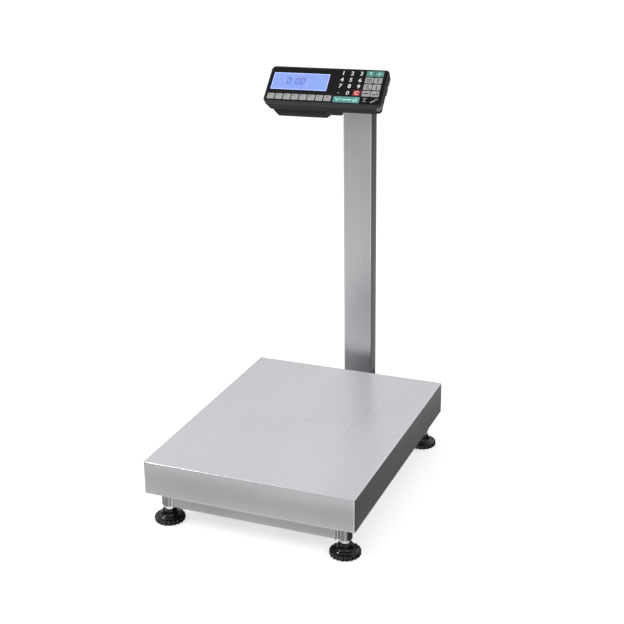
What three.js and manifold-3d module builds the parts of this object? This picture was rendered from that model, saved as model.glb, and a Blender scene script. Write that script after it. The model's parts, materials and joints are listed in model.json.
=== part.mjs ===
// A platform price scale: a sheet-steel platter over a load cell, on a welded frame with
// levelling feet, and a price-computing terminal on a column behind it.
// Millimetres, +X to the right, +Y to the back, +Z up, origin on the floor under the middle.

import * as THREE from 'three';
import { mergeVertices } from 'three/addons/utils/BufferGeometryUtils.js';
import Module from 'manifold-3d';

const wasm = await Module();
wasm.setup();

// ---------------------------------------------------------------- driving dimensions

const GAP = 0.3;
const PLATTER = { width: 420, depth: 540, top: 133, skirt: 66.5, sheet: 1.5, corner: 3, hem: 10 };
const COLUMN = { width: 63.5, depth: 33, wall: 1.5, corner: 3, setback: 54.5, top: 700 };
const FRAME = { bottom: 32.5, beam: 40, spine: 30, spineWidth: 60, deep: 30, wall: 2, corner: 3 };
const OUTRIGGER = { width: 100, reach: 378, plug: 2 };
const FOOT = { x: 178.5, y: 235.6, radius: 29.4, dome: 24.7, lobes: 20, thread: 12, nut: 7.7 };
const LEG = { radius: 13.45, top: 72.5, bottom: 33 };
const CELL = { length: 150, width: 30, bottom: 65.8, height: 32.5, bolt: 8, near: 50, far: 68 };
const CELL_BORE = { radius: 12, y: 16, slot: 4 };
const CELL_PAD = { half: 20, near: 40, far: 78 };
const HEX = { flats: 13, head: 5, plate: 5.5, stop: 6.2, jam: 19 };
const PLATFORM = { railX: 150, railWidth: 20, railLength: 480, railBottom: 107, railTop: 125 };
const SUPPORT_PAD = { radius: 15, y: 212 };
const VIAL = { radius: 8.5, x: 34, y: 281.5, height: 6.7 };
const BASE_PLATE = { width: 100, front: 292, rear: 374, thickness: 6, boltX: 40, boltInset: 12 };
const COLUMN_BOLT = { radius: 4, hole: 4.5, length: 16 };
const GUSSET = { height: 44, toe: 6, thickness: 6 };
const HEAD = { flange: 20, post: 7, bore: 4, thickness: 5, earInner: 12.5, ear: 5, eye: 9 };
const PIVOT = { z: 722, shank: 4, knob: 14, lobes: 6, lobe: 4.5, head: 7, collar: 8, grip: 12 };
const CABLE = { radius: 2.5, hole: 6, gland: 8, entry: 4 };

// The terminal's face: a rectangle tilted back from the horizontal, placed from its swivel axis.
const YAW = THREE.MathUtils.degToRad(4.1);
const FACE = {
  tilt: THREE.MathUtils.degToRad(41),
  width: 253,
  length: 93,
  centre: -60.8,
  topY: -6.7,
  topZ: 775,
  corner: 9,
};
const CASE = { wall: 2.5, parting: 12, bezelSkin: 3.5, recess: 1.3, rim: 3.5 };
// The lower shell narrows away from the parting line to its foot, where its corners are rounder.
const SHELL = { rimWidth: 251, footWidth: 240, foot: -33, footCorner: 14 };
const GRIP = { inner: 122.8, outer: 125.2, low: -19.5, high: -14 };
const WINDOW = { left: -117.6, right: 3, top: -16.3, bottom: -60 };
const BOX = { left: -171.5, right: -54, front: -55, rear: 8, bottom: 680, slant: 11.5 };
const DOOR = { left: -150, right: -64, front: -46, rear: -2, thickness: 2.2 };
const BATTERY = { left: -152, right: -62, front: -50, rear: 2, bottom: 686, height: 20 };
const SOCKETS = { left: -150, right: -98, bottom: 688, top: 706 };
const ROCKER = { x: -77, z: 696, width: 18, height: 12, swing: THREE.MathUtils.degToRad(7) };
const BOARD = { left: -118, right: 118, top: -8, bottom: -70, face: -8, thickness: 1.6 };

const PLATTER_Y = -(OUTRIGGER.reach - PLATTER.depth / 2) / 2;
const COLUMN_Y = PLATTER_Y + PLATTER.depth / 2 + COLUMN.setback + COLUMN.depth / 2;
const SPINE_TOP = FRAME.bottom + FRAME.spine;
const BEAM_TOP = FRAME.bottom + FRAME.beam;
const BEAM_Y = 233;
const CAP_TOP = COLUMN.top + 3;
const FLANGE_TOP = CAP_TOP + GAP + HEAD.thickness;

// ---------------------------------------------------------------- materials

const finish = (color, roughness, metalness) => () =>
  new THREE.MeshStandardMaterial({ color, roughness, metalness });
const brushedSteel = finish(0xb4b3b4, 0.38, 1);
const zincSteel = finish(0xc8cacb, 0.3, 1);
const machinedAluminium = finish(0xcfd2d4, 0.35, 1);
const blackRubber = finish(0x17181a, 0.75, 0);
const blackNylon = finish(0x0e0f11, 0.3, 0);
const shellPlastic = finish(0x26282a, 0.55, 0);
const overlayFilm = finish(0x111214, 0.4, 0);
const displayGlass = finish(0x93a8f2, 0.15, 0);
const boardGreen = finish(0x1f6b3d, 0.5, 0);
const batteryWrap = finish(0x2a4f8f, 0.5, 0);
const cablePvc = finish(0x5b5d60, 0.6, 0);
const vialAcrylic = finish(0xcfe36a, 0.1, 0);

// ---------------------------------------------------------------- geometry helpers

/** A closed mesh as a manifold solid, with shared vertices merged and slivers dropped. */
function solid(geometry) {
  const bare = new THREE.BufferGeometry();
  bare.setAttribute('position', geometry.getAttribute('position').clone());
  if (geometry.index) bare.setIndex(geometry.index.clone());
  const merged = mergeVertices(bare, 1e-4);
  const index = merged.index.array;
  const kept = [];
  for (let k = 0; k < index.length; k += 3) {
    const [a, b, c] = [index[k], index[k + 1], index[k + 2]];
    if (a !== b && b !== c && c !== a) kept.push(a, b, c);
  }
  const vertProperties = new Float32Array(merged.getAttribute('position').array);
  const triVerts = new Uint32Array(kept);
  return new wasm.Manifold(new wasm.Mesh({ numProp: 3, vertProperties, triVerts }));
}

/** A manifold solid back as a geometry. */
function geometryOf(manifold) {
  const mesh = manifold.getMesh();
  const geometry = new THREE.BufferGeometry();
  geometry.setAttribute('position', new THREE.BufferAttribute(mesh.vertProperties, 3));
  geometry.setIndex(new THREE.BufferAttribute(mesh.triVerts, 1));
  geometry.computeVertexNormals();
  return geometry;
}

/** Joins the added geometries and cuts the others away. */
function carve(added, cut = []) {
  let body = solid(added[0]);
  for (const geometry of added.slice(1)) body = body.add(solid(geometry));
  for (const geometry of cut) body = body.subtract(solid(geometry));
  return geometryOf(body);
}

function roundRect(width, height, radius) {
  const shape = new THREE.Shape();
  const x = width / 2 - radius;
  const y = height / 2 - radius;
  shape.absarc(x, y, radius, 0, Math.PI / 2);
  shape.absarc(-x, y, radius, Math.PI / 2, Math.PI);
  shape.absarc(-x, -y, radius, Math.PI, 1.5 * Math.PI);
  shape.absarc(x, -y, radius, 1.5 * Math.PI, 2 * Math.PI);
  shape.closePath();
  return shape;
}

function polygon(points) {
  return new THREE.Shape(points.map(([x, y]) => new THREE.Vector2(x, y)));
}

/** A shape in XY, extruded up from z = low to z = high. */
function prismZ(shape, low, high, curveSegments = 6) {
  const options = { depth: high - low, bevelEnabled: false, curveSegments };
  return new THREE.ExtrudeGeometry(shape, options).translate(0, 0, low);
}

/** A shape drawn in YZ, extruded along X from low to high. */
function prismX(shape, low, high, curveSegments = 6) {
  const [x, y, z] = [0, 1, 2].map((k) => new THREE.Vector3().setComponent(k, 1));
  const turn = new THREE.Matrix4().makeBasis(y, z, x);
  return prismZ(shape, low, high, curveSegments).applyMatrix4(turn);
}

/** A shape drawn in XZ, extruded along Y from low to high. */
function prismY(shape, low, high, curveSegments = 6) {
  return prismZ(shape, -high, -low, curveSegments).rotateX(Math.PI / 2);
}

function block([x0, x1], [y0, y1], [z0, z1]) {
  const box = new THREE.BoxGeometry(x1 - x0, y1 - y0, z1 - z0);
  return box.translate((x0 + x1) / 2, (y0 + y1) / 2, (z0 + z1) / 2);
}

function rod(radius, x, y, low, high, sides = 16) {
  const cylinder = new THREE.CylinderGeometry(radius, radius, high - low, sides);
  return cylinder.rotateX(Math.PI / 2).translate(x, y, (low + high) / 2);
}

function rodX(radius, low, high, y, z, sides = 16) {
  const cylinder = new THREE.CylinderGeometry(radius, radius, high - low, sides);
  return cylinder.rotateZ(-Math.PI / 2).translate((low + high) / 2, y, z);
}

function rodY(radius, x, low, high, z, sides = 16) {
  const cylinder = new THREE.CylinderGeometry(radius, radius, high - low, sides);
  return cylinder.translate(x, (low + high) / 2, z);
}

/** A hexagon as wide across its flats as given, extruded up. */
function hexagon(flats, x, y, low, high) {
  return rod(flats / Math.sqrt(3), x, y, low, high, 6);
}

/** The section of a square-cut hollow tube. */
function tubeSection(width, height, radius, wall) {
  const section = roundRect(width, height, radius);
  section.holes.push(roundRect(width - 2 * wall, height - 2 * wall, radius - wall / 2));
  return section;
}

/** Adds one named piece with its own material to a group. */
function add(group, name, geometry, material) {
  const mesh = new THREE.Mesh(geometry, material());
  mesh.name = name;
  group.add(mesh);
  return mesh;
}

/** The four corners, each with a name and the signs of its X and Y. */
const CORNERS = [
  { corner: 'front_left', sx: -1, sy: -1 },
  { corner: 'front_right', sx: 1, sy: -1 },
  { corner: 'rear_left', sx: -1, sy: 1 },
  { corner: 'rear_right', sx: 1, sy: 1 },
];

// ---------------------------------------------------------------- base frame

/** A cross beam between two legs, with a stop-screw hole near each end. */
function crossBeam(sy) {
  const half = FOOT.x - LEG.radius - GAP;
  const section = tubeSection(FRAME.deep, FRAME.beam, FRAME.corner, FRAME.wall);
  const middle = FRAME.bottom + FRAME.beam / 2;
  const tube = prismX(section, -half, half, 2).translate(0, sy * BEAM_Y, middle);
  const top = BEAM_TOP - 2 * FRAME.wall;
  const holes = [-1, 1].map((sx) => stopHole(sx, sy, top));
  if (sy > 0) {
    holes.push(rodY(CABLE.hole, 0, BEAM_Y - FRAME.deep, BEAM_Y + FRAME.deep, cableZ()));
  }
  return carve([tube], holes);
}

function stopHole(sx, sy, low) {
  return rod(CELL.bolt / 2 + GAP, sx * PLATFORM.railX, sy * BEAM_Y, low, BEAM_TOP + 1);
}

/** The spine tube that carries the load cell, with a pad, bolt holes and a cable hole. */
function spine() {
  const reach = BEAM_Y - FRAME.deep / 2 - GAP;
  const section = tubeSection(FRAME.spineWidth, FRAME.spine, FRAME.corner, FRAME.wall);
  const middle = FRAME.bottom + FRAME.spine / 2;
  const tube = prismY(section, -reach, reach, 2).translate(0, 0, middle);
  const { half, near, far } = CELL_PAD;
  const pad = block([-half, half], [near, far], [SPINE_TOP - 1, CELL.bottom - GAP]);
  const bolts = [CELL.near, CELL.far].map((y) =>
    rod(CELL.bolt / 2 + GAP, 0, y, FRAME.bottom - 1, CELL.bottom + 1));
  const cableY = CELL.length / 2 + 32;
  const cableHole = rod(CABLE.hole, 0, cableY, SPINE_TOP - 2 * FRAME.wall, SPINE_TOP + 1);
  return carve([tube, pad], [...bolts, cableHole]);
}

function cableZ() {
  return FRAME.bottom + FRAME.spine / 2;
}

/** The tube that reaches back from the frame and carries the column. */
function outrigger() {
  const start = BEAM_Y + FRAME.deep / 2 + GAP;
  const end = OUTRIGGER.reach - OUTRIGGER.plug - GAP;
  const section = tubeSection(OUTRIGGER.width, FRAME.spine, FRAME.corner, FRAME.wall);
  const middle = FRAME.bottom + FRAME.spine / 2;
  const tube = prismY(section, start, end, 2).translate(0, 0, middle);
  const low = SPINE_TOP - 2 * FRAME.wall;
  const bolts = columnBolts().map(([x, y]) => rod(COLUMN_BOLT.hole, x, y, low, SPINE_TOP + 1));
  return carve([tube], [...bolts, rod(CABLE.gland, 0, columnY(), low, SPINE_TOP + 1)]);
}

/** The plastic plug that closes the outrigger's open end. */
function endPlug() {
  const inner = { width: OUTRIGGER.width - 2 * FRAME.wall, height: FRAME.spine - 2 * FRAME.wall };
  const middle = FRAME.bottom + FRAME.spine / 2;
  const cover = roundRect(OUTRIGGER.width, FRAME.spine, FRAME.corner);
  const spigot = roundRect(inner.width - 2 * GAP, inner.height - 2 * GAP, 1.5);
  const face = OUTRIGGER.reach - OUTRIGGER.plug;
  return carve([
    prismY(cover, face, OUTRIGGER.reach, 2).translate(0, 0, middle),
    prismY(spigot, face - 10, face + 1, 2).translate(0, 0, middle),
  ]);
}

/** Column position, measured from the platter's middle. */
function columnY() {
  return COLUMN_Y - PLATTER_Y;
}

function columnBolts() {
  const { front, rear, boltX, boltInset } = BASE_PLATE;
  return [front + boltInset, rear - boltInset].flatMap((y) => [-boltX, boltX].map((x) => [x, y]));
}

function legBush(sx, sy) {
  const bore = FOOT.thread / 2 + GAP;
  const outer = rod(LEG.radius, sx * FOOT.x, sy * FOOT.y, LEG.bottom, LEG.top, 24);
  return carve([outer], [rod(bore, sx * FOOT.x, sy * FOOT.y, LEG.bottom - 1, LEG.top + 1)]);
}

function jamNut(sx, sy) {
  const low = LEG.bottom - GAP - FOOT.nut;
  const nut = hexagon(HEX.jam, sx * FOOT.x, sy * FOOT.y, low, LEG.bottom - GAP);
  const bore = rod(FOOT.thread / 2 + GAP, sx * FOOT.x, sy * FOOT.y, low - 1, LEG.bottom);
  return carve([nut], [bore]);
}

/** A stop screw in the beam's top, its tip just under the platform's rail. */
function stopScrew(sx, sy) {
  const [x, y] = [sx * PLATFORM.railX, sy * BEAM_Y];
  const tip = PLATFORM.railBottom - 1;
  return carve([
    rod(CELL.bolt / 2, x, y, BEAM_TOP - 12, tip),
    hexagon(HEX.flats, x, y, BEAM_TOP + GAP, BEAM_TOP + GAP + HEX.stop),
  ]);
}

// ---------------------------------------------------------------- feet

function footStud(sx, sy) {
  return rod(FOOT.thread / 2, sx * FOOT.x, sy * FOOT.y, 8 + GAP, 68);
}

/** The foot's pad: a domed disc whose rim has finger scallops, moulded round its stud. */
function footPad(sx, sy) {
  const rim = FOOT.radius;
  const dome = new THREE.Path();
  dome.moveTo(0, 0);
  dome.lineTo(rim - 2, 0);
  dome.lineTo(rim, 2);
  dome.lineTo(rim, 9);
  dome.bezierCurveTo(rim - 2, 14, 17, 14, 13, FOOT.dome);
  dome.lineTo(0, FOOT.dome);
  const lathe = new THREE.LatheGeometry(dome.getPoints(4), 40).rotateX(Math.PI / 2);
  const scallops = [];
  for (let k = 0; k < FOOT.lobes; k += 1) {
    const angle = (k / FOOT.lobes) * 2 * Math.PI;
    const reach = rim + 1.6;
    scallops.push(rod(3, reach * Math.cos(angle), reach * Math.sin(angle), -1, 16, 8));
  }
  const bore = rod(FOOT.thread / 2 + GAP, 0, 0, 8, FOOT.dome + 1);
  const pad = carve([lathe], [bore, ...scallops]);
  return pad.translate(sx * FOOT.x, sy * FOOT.y, 0);
}

// ---------------------------------------------------------------- weighing platform

/** A single-point load cell: a block with two joined holes that let it bend. */
function loadCell() {
  const half = CELL.length / 2;
  const top = CELL.bottom + CELL.height;
  const middle = CELL.bottom + CELL.height / 2;
  const body = block([-CELL.width / 2, CELL.width / 2], [-half, half], [CELL.bottom, top]);
  const { radius, y: spread, slot: gap } = CELL_BORE;
  const holes = [-spread, spread].map((y) => rodX(radius, -CELL.width, CELL.width, y, middle));
  const slot = block([-CELL.width, CELL.width], [-spread, spread], [middle - gap, middle + gap]);
  const threads = [-1, 1].flatMap((side) => [CELL.near, CELL.far].map((y) => {
    const [low, high] = side > 0 ? [CELL.bottom - 1, 82] : [82, top + 1];
    return rod(CELL.bolt / 2 + GAP, 0, side * y, low, high);
  }));
  return carve([body], [...holes, slot, ...threads]);
}

/** A bolt that holds the cell's rear end down, its head under the spine. */
function lowerBolt(y) {
  return carve([
    rod(CELL.bolt / 2, 0, y, FRAME.bottom - 2, 80),
    hexagon(HEX.flats, 0, y, FRAME.bottom - GAP - HEX.head, FRAME.bottom - GAP),
  ]);
}

/** A bolt that ties the cell's front end to the platform's cross plate. */
function upperBolt(y) {
  const seat = crossPlateTop() + GAP;
  return carve([
    rod(CELL.bolt / 2, 0, -y, 84, seat + 1),
    hexagon(HEX.flats, 0, -y, seat, seat + HEX.head),
  ]);
}

function crossPlateTop() {
  return PLATFORM.railBottom - GAP;
}

function crossPlate() {
  const reach = PLATFORM.railX + PLATFORM.railWidth / 2;
  const top = crossPlateTop();
  const plate = block([-reach, reach], [-82, 60], [top - 5, top]);
  const { half, near, far } = CELL_PAD;
  const pad = block([-half, half], [-far, -near], [CELL.bottom + CELL.height + GAP, top - 4]);
  const holes = [CELL.near, CELL.far].map((y) => rod(CELL.bolt / 2 + GAP, 0, -y, 90, top + 1));
  return carve([plate, pad], holes);
}

function platformRail(sx) {
  const height = PLATFORM.railTop - PLATFORM.railBottom;
  const section = tubeSection(PLATFORM.railWidth, height, 2, FRAME.wall);
  const half = PLATFORM.railLength / 2;
  const middle = (PLATFORM.railTop + PLATFORM.railBottom) / 2;
  return prismY(section, -half, half, 2).translate(sx * PLATFORM.railX, 0, middle);
}

function supportPad(sx, sy) {
  const { radius, y } = SUPPORT_PAD;
  const top = PLATTER.top - PLATTER.sheet - GAP;
  return rod(radius, sx * PLATFORM.railX, sy * y, PLATFORM.railTop + GAP, top, 24);
}

/** The platter: a tray of folded sheet, open below, its skirt hemmed inwards at the bottom. */
function platter() {
  const { width, depth, top, skirt, sheet, corner, hem } = PLATTER;
  const outer = roundRect(width, depth, corner);
  const inner = roundRect(width - 2 * sheet, depth - 2 * sheet, corner - sheet);
  const mouth = roundRect(width - 2 * hem, depth - 2 * hem, 1);
  return carve(
    [prismZ(outer, skirt, top, 4)],
    [prismZ(inner, skirt + sheet, top - sheet, 4), prismZ(mouth, skirt - 1, top - 2 * sheet, 4)],
  );
}

// ---------------------------------------------------------------- column

/** The plate under the column, with a gusset on each side of it. */
function basePlate() {
  const low = SPINE_TOP + GAP;
  const top = low + BASE_PLATE.thickness;
  const half = BASE_PLATE.width / 2;
  const plate = block([-half, half], [BASE_PLATE.front, BASE_PLATE.rear], [low, top]);
  const start = COLUMN.width / 2 + GAP;
  const toe = half - GUSSET.toe;
  const gussets = [-1, 1].map((sx) => {
    const outline = polygon([[start, top - 1], [toe, top - 1], [start, top + GUSSET.height]]);
    const middle = columnY() - GUSSET.thickness / 2;
    const gusset = prismY(outline, middle, middle + GUSSET.thickness);
    return sx > 0 ? gusset : gusset.rotateZ(Math.PI).translate(0, 2 * columnY(), 0);
  });
  const holes = columnBolts().map(([x, y]) => rod(COLUMN_BOLT.hole, x, y, low - 1, top + 1));
  return carve([plate, ...gussets], [...holes, rod(CABLE.gland, 0, columnY(), low - 1, top + 1)]);
}

function columnBolt(x, y) {
  const seat = SPINE_TOP + GAP + BASE_PLATE.thickness + GAP;
  return carve([
    rod(COLUMN_BOLT.radius, x, y, seat - COLUMN_BOLT.length, seat + 1),
    hexagon(HEX.flats, x, y, seat, seat + HEX.plate),
  ]);
}

function columnTube() {
  const low = SPINE_TOP + BASE_PLATE.thickness + 2 * GAP;
  const section = tubeSection(COLUMN.width, COLUMN.depth, COLUMN.corner, COLUMN.wall);
  return prismZ(section, low, COLUMN.top - GAP, 4).translate(0, columnY(), 0);
}

/** The cap in the column's top, bored for the swivel post. */
function columnCap() {
  const lid = roundRect(COLUMN.width, COLUMN.depth, COLUMN.corner);
  const fit = 2 * (COLUMN.wall + GAP);
  const spigot = roundRect(COLUMN.width - fit, COLUMN.depth - fit, 2);
  return carve(
    [prismZ(lid, COLUMN.top, CAP_TOP, 4), prismZ(spigot, COLUMN.top - 18, COLUMN.top + 1, 4)],
    [rod(HEAD.post + GAP, 0, 0, COLUMN.top - 20, CAP_TOP + 1)],
  ).translate(0, columnY(), 0);
}

/** The load cell's cable, inside the spine, the outrigger and the column. */
function cellCable() {
  const exit = CELL.length / 2 + GAP;
  const low = cableZ();
  const y = columnY();
  const route = [
    [0, exit, 80], [0, exit + 14, 79], [0, exit + 27, 72], [0, exit + 32, 60],
    [0, exit + 38, low + 3], [0, exit + 52, low], [0, 180, low], [0, 240, low],
    [0, 290, low], [0, y - 16, low], [0, y - 3, low + 7], [0, y, low + 22],
    [0, y, 120], [0, y, 300], [0, y, 500], [0, y, FLANGE_TOP - 2],
  ];
  const path = new THREE.CatmullRomCurve3(route.map((p) => new THREE.Vector3(...p)));
  path.curveType = 'chordal';
  return hose(path, CABLE.radius, 80);
}

function hose(path, radius, steps) {
  const circle = new THREE.Shape().absarc(0, 0, radius, 0, 2 * Math.PI);
  const options = { steps, extrudePath: path, curveSegments: 4, bevelEnabled: false };
  return new THREE.ExtrudeGeometry(circle, options);
}

function levelVial() {
  const low = SPINE_TOP + GAP;
  return rod(VIAL.radius, VIAL.x, VIAL.y, low, low + VIAL.height, 24);
}

// ---------------------------------------------------------------- swivel head

/** The head on the column: a bored post, a flange and two ears for the tilt screw. */
function swivelHead() {
  const low = CAP_TOP + GAP;
  const outer = HEAD.earInner + HEAD.ear;
  const ear = new THREE.Shape();
  ear.moveTo(HEAD.eye, low + 1);
  ear.absarc(0, PIVOT.z, HEAD.eye, 0, Math.PI);
  ear.lineTo(-HEAD.eye, low + 1);
  return carve(
    [
      rod(HEAD.flange, 0, 0, low, FLANGE_TOP, 32),
      rod(HEAD.post, 0, 0, COLUMN.top - 16, low + 1),
      prismX(ear, HEAD.earInner, outer, 8),
      prismX(ear, -outer, -HEAD.earInner, 8),
    ],
    [
      rod(HEAD.bore, 0, 0, COLUMN.top - 20, FLANGE_TOP + 1),
      rodX(PIVOT.shank + GAP, -outer - 1, outer + 1, 0, PIVOT.z),
    ],
  );
}

/** The screw that clamps the tilt, with a lobed knob on its right end. */
function tiltScrew() {
  const seat = HEAD.earInner + 2 * HEAD.ear + 2 * GAP;
  const start = seat + 3;
  const reach = PIVOT.knob - PIVOT.lobe;
  const parts = [
    rodX(PIVOT.shank, -seat - 1, seat + 1, 0, PIVOT.z),
    rodX(PIVOT.head, -seat - 5, -seat, 0, PIVOT.z),
    rodX(PIVOT.collar, seat, start + 1, 0, PIVOT.z),
    rodX(PIVOT.knob - 2.5, start, start + PIVOT.grip, 0, PIVOT.z, 24),
  ];
  for (let k = 0; k < PIVOT.lobes; k += 1) {
    const angle = (k / PIVOT.lobes) * 2 * Math.PI;
    const [y, z] = [reach * Math.cos(angle), PIVOT.z + reach * Math.sin(angle)];
    parts.push(rodX(PIVOT.lobe, start, start + PIVOT.grip, y, z, 12));
  }
  return carve(parts);
}

// ---------------------------------------------------------------- terminal case

const faceMatrix = new THREE.Matrix4()
  .makeTranslation(FACE.centre, FACE.topY, FACE.topZ)
  .multiply(new THREE.Matrix4().makeRotationX(FACE.tilt));

/** Moves a geometry from the face's own frame (Y up the face, Z out of it) to the terminal's. */
function onFace(geometry) {
  return geometry.applyMatrix4(faceMatrix);
}

/** The face's rounded outline, drawn inwards by an inset and extruded along the normal. */
function facePrism(inset, low, high) {
  const [width, length] = [FACE.width - 2 * inset, FACE.length - 2 * inset];
  const outline = roundRect(width, length, FACE.corner - inset);
  return prismZ(outline, low, high, 4).translate(0, -FACE.length / 2, 0);
}

/** The case's side outline below the parting line, drawn inwards by an inset. */
function sideOutline(inset) {
  const foot = -FACE.length + inset;
  return polygon([
    [foot, 1], [foot, -26 + inset / 2], [foot + 7, SHELL.foot + inset], [-74, SHELL.foot + inset],
    [-50, -21 + inset], [-4, -19 + inset], [-inset, -16 + inset], [-inset, 1],
  ]);
}

/** The block that the lower shell is cut from, narrowing from its rim to its foot. */
function taperedBlock(inset) {
  const length = FACE.length - 2 * inset;
  const slice = (width, corner, low, high) => {
    const outline = roundRect(width - 2 * inset, length, corner - inset);
    return solid(prismZ(outline, low, high, 4).translate(0, -FACE.length / 2, 0));
  };
  return wasm.Manifold.hull([
    slice(SHELL.rimWidth, FACE.corner, -CASE.parting - GAP, 2),
    slice(SHELL.footWidth, SHELL.footCorner, SHELL.foot - 1, SHELL.foot),
  ]);
}

/** The lower shell's outside, or its inside for an inset of one wall. */
function caseBody(inset) {
  const half = FACE.width / 2;
  const wedge = solid(prismX(sideOutline(inset), -half, half));
  return onFace(geometryOf(wedge.intersect(taperedBlock(inset))));
}

/** The battery box's outline in YZ, drawn inwards by an inset. */
function boxOutline(inset) {
  const { front, rear, bottom } = BOX;
  return polygon([
    [front + inset, bottom + inset], [rear - inset, bottom + inset], [rear - inset, 711],
    [-20 - inset, 734 - inset], [-40, 722], [front + inset, 702],
  ]);
}

function lug(inner) {
  const shape = new THREE.Shape();
  shape.moveTo(-29, 730);
  shape.absarc(0, PIVOT.z, HEAD.eye, -0.75 * Math.PI, 0.06 * Math.PI);
  shape.lineTo(-3, 754);
  shape.closePath();
  return prismX(shape, inner, inner + HEAD.ear, 8);
}

/** The battery box, its lower left edge cut off at a slant, drawn inwards by an inset. */
function batteryBox(inset) {
  const { left, right, bottom, slant, front, rear } = BOX;
  const body = solid(prismX(boxOutline(inset), left + inset, right - inset));
  const shift = inset * Math.SQRT2;
  const corner = polygon([
    [left - 1, bottom - 1], [left + slant + 1 + shift, bottom - 1],
    [left - 1, bottom + slant + 1 + shift],
  ]);
  return geometryOf(body.subtract(solid(prismY(corner, front - 1, rear + 1))));
}

/** The grips that stand out of the case's ends, two on each. */
function grips() {
  const { inner, outer, low, high } = GRIP;
  return [[inner, outer], [-outer, -inner]].flatMap((span) =>
    [[-27, -6], [-51, -32]].map((length) => onFace(block(span, length, [low, high]))));
}

/** The lower shell: the case's back, the battery box and the lugs for the tilt screw. */
function lowerShell() {
  const wall = CASE.wall;
  const lugInner = HEAD.earInner + HEAD.ear + GAP;
  const step = block([BOX.right - 2, -22], [-61, -48], [688, 700]);
  const outer = [
    caseBody(0),
    batteryBox(0),
    step,
    lug(lugInner),
    lug(-lugInner - HEAD.ear),
    ...grips(),
  ];
  const cuts = [
    caseBody(wall),
    batteryBox(wall),
    onFace(block([-200, 200], [-150, 50], [-CASE.parting - GAP, 40])),
    block([DOOR.left, DOOR.right], [DOOR.front, DOOR.rear], [BOX.bottom - 1, BOX.bottom + 3]),
    block([SOCKETS.left, SOCKETS.right], [BOX.rear - 4, BOX.rear + 1],
      [SOCKETS.bottom, SOCKETS.top]),
    rockerOpening(),
    rodX(PIVOT.shank + GAP, -30, 30, 0, PIVOT.z),
    onFace(rod(CABLE.entry, cableEntry().x, cableEntry().y, -30, -10)),
  ];
  const shell = solid(carve(outer, cuts));
  return geometryOf(boardPosts().reduce((body, post) => body.add(solid(post)), shell));
}

/** Where the cable comes through the case's back, in the face's frame. */
function cableEntry() {
  return { x: -FACE.centre, y: -46 };
}

function boardPosts() {
  const low = -18.8;
  const high = BOARD.face - BOARD.thickness - GAP;
  return [BOARD.left + 6, BOARD.right - 6].flatMap((x) =>
    [BOARD.top - 6, -45].map((y) => onFace(rod(3, x, y, low, high, 16))));
}

function mainBoard() {
  const { left, right, top, bottom, face, thickness } = BOARD;
  const plate = block([left, right], [bottom, top], [face - thickness, face]);
  return onFace(plate);
}

/** The bezel: the case's front frame, with a recess for the overlay and the display's opening. */
function bezel() {
  const { left, right, top, bottom } = WINDOW;
  return onFace(carve(
    [facePrism(0, -CASE.parting, 0)],
    [
      facePrism(CASE.wall, -CASE.parting - 1, -CASE.bezelSkin),
      facePrism(CASE.rim, -CASE.recess, 1),
      block([left - 1, right + 1], [bottom - 1, top + 1], [-CASE.bezelSkin - 1, 1]),
    ],
  ));
}

/** The keypad overlay: one printed membrane sheet with an opening for the display. */
function overlay() {
  const { left, right, top, bottom } = WINDOW;
  return onFace(carve(
    [facePrism(CASE.rim + GAP, -CASE.recess + GAP, -0.2)],
    [block([left, right], [bottom, top], [-4, 1])],
  ));
}

/** The display: a glass that fills the overlay's opening, on a wider carrier. */
function display() {
  const { left, right, top, bottom } = WINDOW;
  const glass = block([left + GAP, right - GAP], [bottom + GAP, top - GAP], [-5, -0.5]);
  const carrier = block([left - 3, right + 3], [bottom - 3, top + 3], [-7.4, -4]);
  return onFace(carve([glass, carrier]));
}

function battery() {
  const { left, right, front, rear, bottom, height } = BATTERY;
  const section = roundRect(rear - front, height, 5);
  const pack = prismX(section, left, right, 4);
  return pack.translate(0, (front + rear) / 2, bottom + height / 2);
}

function batteryDoor() {
  const { left, right, front, rear, thickness } = DOOR;
  const low = BOX.bottom;
  const plate = block([left + GAP, right - GAP], [front + GAP, rear - GAP],
    [low, low + thickness]);
  const ribs = [0, 1, 2, 3].map((k) =>
    block([left + 8, left + 9.5], [front + 8 + 7 * k, front + 11 + 7 * k], [low - 1, low + 1]));
  return carve([plate, ...ribs]);
}

/** The panel in the box's rear wall with the supply socket and the data socket. */
function socketPanel() {
  const { left, right, bottom, top } = SOCKETS;
  const middle = (bottom + top) / 2;
  const rear = BOX.rear - 0.3;
  const plate = block([left + GAP, right - GAP], [rear - 2, rear], [bottom + GAP, top - GAP]);
  const jackX = left + 12;
  const dataX = right - 15;
  return carve(
    [
      plate,
      rodY(6.5, jackX, BOX.rear - 5.2, rear - 1, middle),
      block([dataX - 9, dataX + 9], [BOX.rear - 5.2, rear - 1], [middle - 6, middle + 6]),
    ],
    [
      rodY(3, jackX, BOX.rear - 4.2, BOX.rear + 1, middle),
      block([dataX - 7, dataX + 7], [BOX.rear - 4.2, BOX.rear + 1], [middle - 4, middle + 4]),
    ],
  );
}

function rockerOpening() {
  const { x, z, width, height } = ROCKER;
  return block([x - width / 2, x + width / 2], [BOX.rear - 4, BOX.rear + 1],
    [z - height / 2, z + height / 2]);
}

/** The rocker of the power switch: a shallow V in front, tapered behind its pivot. */
function rocker() {
  const half = ROCKER.width / 2 - 2 * GAP;
  const outline = polygon([
    [-half, 0], [-half + 3, -4], [half - 3, -4], [half, 0], [half, 1], [0, -0.2], [-half, 1],
  ]);
  const tall = ROCKER.height / 2 - GAP;
  return prismZ(outline, -tall, tall);
}

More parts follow.
